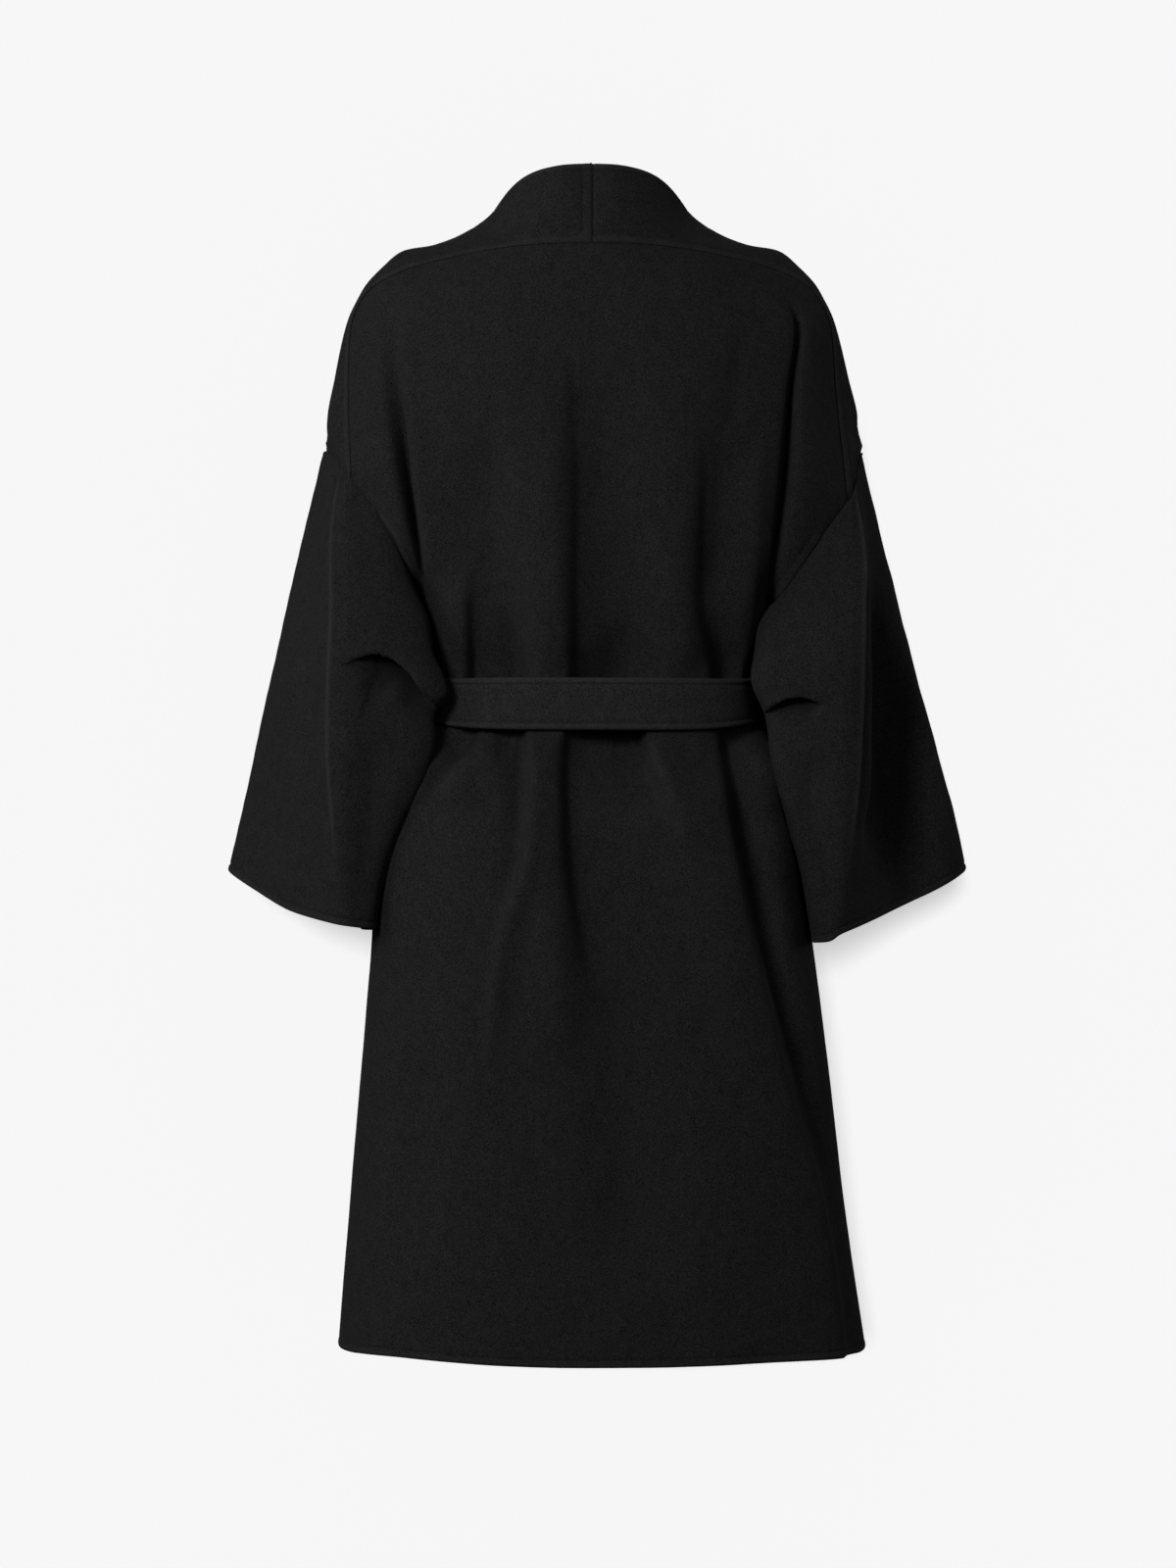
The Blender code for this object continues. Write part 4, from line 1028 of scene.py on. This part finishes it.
def cloth_wall(points, cells, edges, wear_highlight_and_shade=0.0):
    """Points and faces of a cloth piece with its sewn edges: edges lists kinds and lines."""
    a, b, c, d = (points[cells[:, k]] for k in range(4))
    facing = unit(np.cross(c - a, d - b))
    normal = np.zeros_like(points)
    for k in range(4):
        np.add.at(normal, cells[:, k], facing)
    normal = unit(normal)
    rim = rim_of(cells)
    along = np.zeros_like(points)
    np.add.at(along, rim[:, 0], points[rim[:, 1]] - points[rim[:, 0]])
    np.add.at(along, rim[:, 1], points[rim[:, 1]] - points[rim[:, 0]])
    border = np.unique(rim)
    past = unit(np.cross(unit(along[border]), normal[border]))

    high, low = np.zeros(len(points)), np.zeros(len(points))
    reach = np.zeros(len(points))
    # sleeves bring their painted highlight and painted shade here; lapped and free edges add wear and
    # painted highlight below
    wear_and_painted_light = np.zeros(len(points)) + wear_highlight_and_shade
    for kind, lines in edges:
        away = distance_to(lines, points)
        lift, under = edge_relief(kind, away)
        high += lift
        low += under
        if kind in ("over", "under", "flush"):
            reach = np.maximum(reach, ramp(away, 1.0, 0.2))
        # lighter bands beside lapped and free edges: wear and painted highlight
        if kind in EDGE_WEAR_AND_HIGHLIGHT:
            amount, start, end = EDGE_WEAR_AND_HIGHLIGHT[kind]
            wear_and_painted_light += amount * ramp(away, start, end)
    outer = points + normal * (high.clip(*RELIEF) / 1000)[:, None]
    inner = points + normal * (low.clip(*RELIEF) / 1000 - CLOTH)[:, None]
    shift = past * (PAST_SEAM * reach[border] - OFF_SEAM)[:, None]
    outer[border] += shift
    inner[border] += shift
    middle = (outer[border] + inner[border]) / 2 + past * ROUND_RIM

    count = len(points)
    place = np.zeros(count, int)
    place[border] = np.arange(len(border)) + 2 * count
    p, q = rim[:, 0], rim[:, 1]
    faces = np.concatenate([
        cells,
        cells[:, ::-1] + count,
        np.stack([q, p, place[p], place[q]], axis=1),
        np.stack([place[q], place[p], p + count, q + count], axis=1),
    ])
    area = 0.5 * np.linalg.norm(np.cross(c - a, d - b), axis=1).sum()
    wear_and_painted_light = np.concatenate([wear_and_painted_light, wear_and_painted_light, wear_and_painted_light[border]])
    return np.concatenate([outer, inner, middle]), faces, area, wear_and_painted_light


def add_piece(node, points, faces, material, wear_and_painted_light):
    """A piece of the coat that stands for its solid."""
    mesh = bpy.data.meshes.new(node + "_cloth")
    mesh.from_pydata(points.tolist(), [], faces)
    mesh.shade_smooth()
    mesh.materials.append(material)
    # per-point share of wear, painted highlight and painted shade, read by the material
    mesh.attributes.new("wear_and_painted_light", "FLOAT", "POINT").data.foreach_set("value", wear_and_painted_light)
    made = bpy.data.objects.new(node + "_cloth", mesh)
    bpy.context.scene.collection.objects.link(made)
    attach(made, "root")
    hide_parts(node)
    return made


def sew(node, points, cells, side, edges, wear_highlight_and_shade=0.0):
    """Makes a cloth piece from a grid: side -1 turns cells that face inward."""
    points, faces, area, wear_and_painted_light = cloth_wall(points, cells if side > 0 else cells[:, ::-1], edges, wear_highlight_and_shade)
    add_piece(node, points, faces.tolist(), COAT_WOOL, wear_and_painted_light)
    print("%s: %d faces, %.3f square metres" % (node, len(faces), area))


# %% [markdown]
# Now the lines along which the pieces meet are named, and each piece gets its edges: the fronts lie over
# the back at the shoulder and neck, body over sleeve at the armhole, and the left collar half over the
# right one.

# %% Lines of the seams
half = nearest(back_columns, CENTRE_BACK)
joint = nearest(back_rows, BACK_JOINT)
arm = nearest(back_rows, UNDERARM)
lapped = nearest(back_rows, BACK_JOINT - 0.75)
front_joint = nearest(front_rows, FRONT_JOINT)
front_arm = nearest(front_rows, UNDERARM)
collar_back = left_collar[-1]


def seam_lines(side, front):
    """Lines where the pieces of one side meet: side seam, shoulder and neck, armhole and its corner."""
    edge = back_edge(side)
    neck = back[-1, half:][::-1] if side > 0 else back[-1, : half + 1]
    shoulder = np.concatenate([edge[joint:], neck])
    corner = [edge[lapped : joint + 1], front[front_arm : front_joint + 1, -1]]
    return [edge[: arm + 1]], [shoulder], [edge[arm : lapped + 1]], corner


left_lines, right_lines = seam_lines(1, left), seam_lines(-1, right)
print("rows of the back up to the underarm and the armhole corner: %d, %d" % (arm, joint))

# %% Back piece
side_seams, shoulders, holes, corners = (a + b for a, b in zip(left_lines, right_lines))
back_edges = [
    ("free", [back[0]]), ("plain", side_seams), ("flush", corners), ("over", holes), ("under", shoulders),
]
sew("back_panel", back.reshape(-1, 3), cells_of(numbered(*back.shape[:2])), -1, back_edges)


# %% Front pieces with their collar halves
def front_piece(node, grid, collar, side, lines, lap):
    """A front sewn to its collar half."""
    side_seam, shoulder, _, corner = lines
    rows, columns = grid.shape[:2]
    number = numbered(rows, columns)
    extra = numbered(len(collar) - 1, collar.shape[1]) + rows * columns
    collar_number = np.concatenate([number[-1:, : collar.shape[1]], extra])
    cells = np.concatenate([cells_of(number), cells_of(collar_number)])
    points = np.concatenate([grid.reshape(-1, 3), collar[1:].reshape(-1, 3)])
    edges = [
        ("free", [grid[0], np.concatenate([grid[:, 0], collar[1:, 0]])]),
        ("plain", side_seam),
        ("flush", corner),
        ("over", shoulder + ([collar_back] if lap == "over" else [])),
    ]
    if lap == "under":
        edges.append(("under", [collar_back]))
    sew(node, points, cells, side, edges)


front_piece("front_left", left, left_collar, 1, left_lines, "over")
front_piece("front_right", right, right_collar, -1, right_lines, "under")


# %% Sleeve pieces
def sleeve_piece(node, grid, side, lines, sleeve_painted_light):
    """A sleeve with its armhole, cuff and under seam."""
    _, _, hole, corner = lines
    cells = cells_of(numbered(*grid.shape[:2]), closed=True)
    cuff = np.vstack([grid[-1], grid[-1, :1]])
    edges = [("under", hole), ("plain", [grid[:, 0]]), ("flush", corner), ("free", [cuff])]
    sew(node, grid.reshape(-1, 3), cells, side, edges, sleeve_painted_light.ravel())


sleeve_piece("sleeve_left", left_sleeve, 1, left_lines, left_painted_light)
sleeve_piece("sleeve_right", right_sleeve, -1, right_lines, right_painted_light)

# %% [markdown]
# ## The belt
# A strip of the same wool, doubled and stitched round its edges, tied at the front. A plain ribbon would
# look like tape: the doubled cloth is about 4.5 mm thick, with a rounded rim and a stitched groove inside.

# %% Profile of the belt, in millimetres: across, height above the coat
BELT_CLEAR = 0.0006
BELT_THICK = 0.0045
BELT_WIDTH = 0.050
BELT_SAG = 0.004
BELT_WAVE = 0.0006
BELT_LOOPS = 240
LOWER_HALF = [
    (-24.4, 0.2), (-25.0, 1.2), (-24.8, 2.8), (-23.8, 4.2), (-22.0, 4.8), (-20.6, 4.7), (-19.4, 4.2),
    (-18.6, 3.6), (-17.8, 3.9), (-16.4, 4.4), (-12, 4.5), (-6, 4.5),
]
UPPER_HALF = [(-across, rise) for across, rise in LOWER_HALF[::-1]]
BELT_PROFILE = LOWER_HALF + [(0, 4.5)] + UPPER_HALF + [(12, 0), (0, 0), (-12, 0)]
# the belt's rounded rims are lighter: wear and painted highlight
BELT_WEAR_AND_HIGHLIGHT = [0.16 if abs(across) > 20 and rise > 1 else 0.0 for across, rise in BELT_PROFILE]


def waist_point(degrees, rise, clear):
    """A point round the waist, a given distance outside the body."""
    low, high = BODY_SECTIONS[6], BODY_SECTIONS[7]
    sag = BELT_SAG * (0.5 + 0.5 * np.cos(np.radians(degrees)))
    at_side = abs(np.sin(np.radians(degrees))) ** 3
    z = BELT_MIDDLE + 0.002 + rise * (1 - 0.16 * at_side) + 0.004 * at_side - sag
    share = (z - low[0]) / (high[0] - low[0])
    section = [a + (b - a) * share for a, b in zip(low, high)]
    for k in (1, 2, 3):
        section[k] += clear
    behind = np.cos(np.radians(degrees)) > 0
    x, y, _ = section_point(section, degrees if behind else 180 - degrees, behind)
    return (x, y, z)


def tube_piece(node, loops, wear_and_painted_light, capped=True):
    """A piece of the belt through loops of points, capped at its ends or joined to a ring."""
    number = numbered(*loops.shape[:2])
    caps = [number[0][::-1].tolist(), number[-1].tolist()] if capped else []
    if not capped:
        number = np.vstack([number, number[:1]])
    faces = cells_of(number, closed=True).tolist() + caps
    add_piece(node, loops.reshape(-1, 3), faces, BELT_WOOL, wear_and_painted_light)


# %% Belt round the waist
turns = np.arange(BELT_LOOPS) * 360 / BELT_LOOPS
loops = np.array([
    [
        waist_point(t, across / 1000 + BELT_WAVE * np.sin(np.radians(3 * t) + 1), BELT_CLEAR + rise / 1000)
        for across, rise in BELT_PROFILE
    ]
    for t in turns
])
tube_piece("belt", loops, BELT_WEAR_AND_HIGHLIGHT * BELT_LOOPS, capped=False)
print("belt: %.2f m round" % walked(loops[:, 12])[-1])

# %% [markdown]
# ## The tie
# The belt is tied once at the front: one end wraps over the belt, and both hang down on the over front. The
# view from behind hides it, so it is a plain wrap with the pleats that a pulled belt makes.

# %% Wrap of the tie
KNOT_SECTIONS = [
    # height above the belt's middle, half width, depth
    (-0.0305, 0.017, 0.012),
    (-0.0240, 0.025, 0.023),
    (-0.0080, 0.0285, 0.029),
    (0.0080, 0.0285, 0.030),
    (0.0225, 0.025, 0.024),
    (0.0290, 0.017, 0.012),
]
KNOT_ROWS, KNOT_COLUMNS = 41, 49
TUCK = 0.004


def belt_face(x, rise):
    """How far forward the belt's face lies at places across it; past its edges the tie tucks under."""
    on_belt = np.clip(rise, -BELT_WIDTH / 2, BELT_WIDTH / 2)
    clear = BELT_CLEAR + BELT_THICK + 0.0003
    line = np.array([waist_point(t, on_belt, clear) for t in range(210, 149, -3)])
    return np.interp(x, line[:, 0], line[:, 1]) + TUCK * ramp(abs(rise), 0.0245, 0.0290)


levels = smooth_line(KNOT_SECTIONS, np.linspace(0, len(KNOT_SECTIONS) - 1, KNOT_ROWS))
angles = np.linspace(np.pi, 0, KNOT_COLUMNS)
loops = []
for rise, wide, deep in levels:
    pull = np.exp(-(((angles - 1.9 - 14 * rise) / 0.12) ** 2))
    pleats = 1 - 0.05 * np.cos(9 * angles + 60 * rise) - 0.06 * pull
    bulge = deep * abs(np.sin(angles)) ** 0.8 * np.where(np.sin(angles) > 0.05, pleats, 1)
    across = wide * np.cos(angles)
    height = np.full(KNOT_COLUMNS, BELT_MIDDLE + rise)
    loops.append(np.stack([across, belt_face(across, rise) - bulge, height], axis=1))
loops = np.array(loops)
tube_piece("belt_knot", loops, [0.0] * KNOT_ROWS * KNOT_COLUMNS)
print("tie: %.0f mm wide" % (1000 * np.ptp(loops[..., 0])))

# %% Hanging ends of the belt
END_LOOPS = 91
END_THINNER = 0.9
ENDS = {
    # across, height, width of the strip
    "belt_end_right": [
        (-0.006, -0.4712, 0.030), (-0.014, -0.515, 0.046), (-0.025, -0.610, 0.050), (-0.036, -0.830, 0.050),
    ],
    "belt_end_left": [
        (0.008, -0.4718, 0.030), (0.017, -0.510, 0.044), (0.029, -0.600, 0.050), (0.047, -0.775, 0.050),
    ],
}
TIE_CLEAR = {"belt_end_right": 0.0012, "belt_end_left": 0.0012 + BELT_THICK + 0.0005}


def front_depth(x, z):
    """How far forward the over front lies at a place."""
    heights = right[:, 0, 2]
    row = int(np.clip(np.searchsorted(heights[: front_arm + 1], z) - 1, 0, front_arm - 1))
    share = (z - heights[row]) / (heights[row + 1] - heights[row])
    low, high = (np.interp(x, right[k, ::-1, 0], right[k, ::-1, 1]) for k in (row, row + 1))
    return low + (high - low) * share


for name, stations in ENDS.items():
    path = smooth_line(stations, np.linspace(0, len(stations) - 1, END_LOOPS))
    loops = []
    for k, (x, z, width) in enumerate(path):
        along = path[min(k + 1, END_LOOPS - 1)] - path[max(k - 1, 0)]
        across = np.array([-along[1], along[0]]) / np.hypot(along[0], along[1])
        loop = []
        for side_step, rise in BELT_PROFILE:
            px, pz = np.array([x, z]) + across * width * side_step / 50
            loop.append((px, front_depth(px, pz) - TIE_CLEAR[name] - rise / 1000 * END_THINNER, pz))
        loops.append(loop)
    loops = np.array(loops)[:, ::-1]
    tube_piece(name, loops, BELT_WEAR_AND_HIGHLIGHT[::-1] * END_LOOPS)
    print("%s: %.2f m hanging" % (name, walked(loops[:, 12])[-1]))
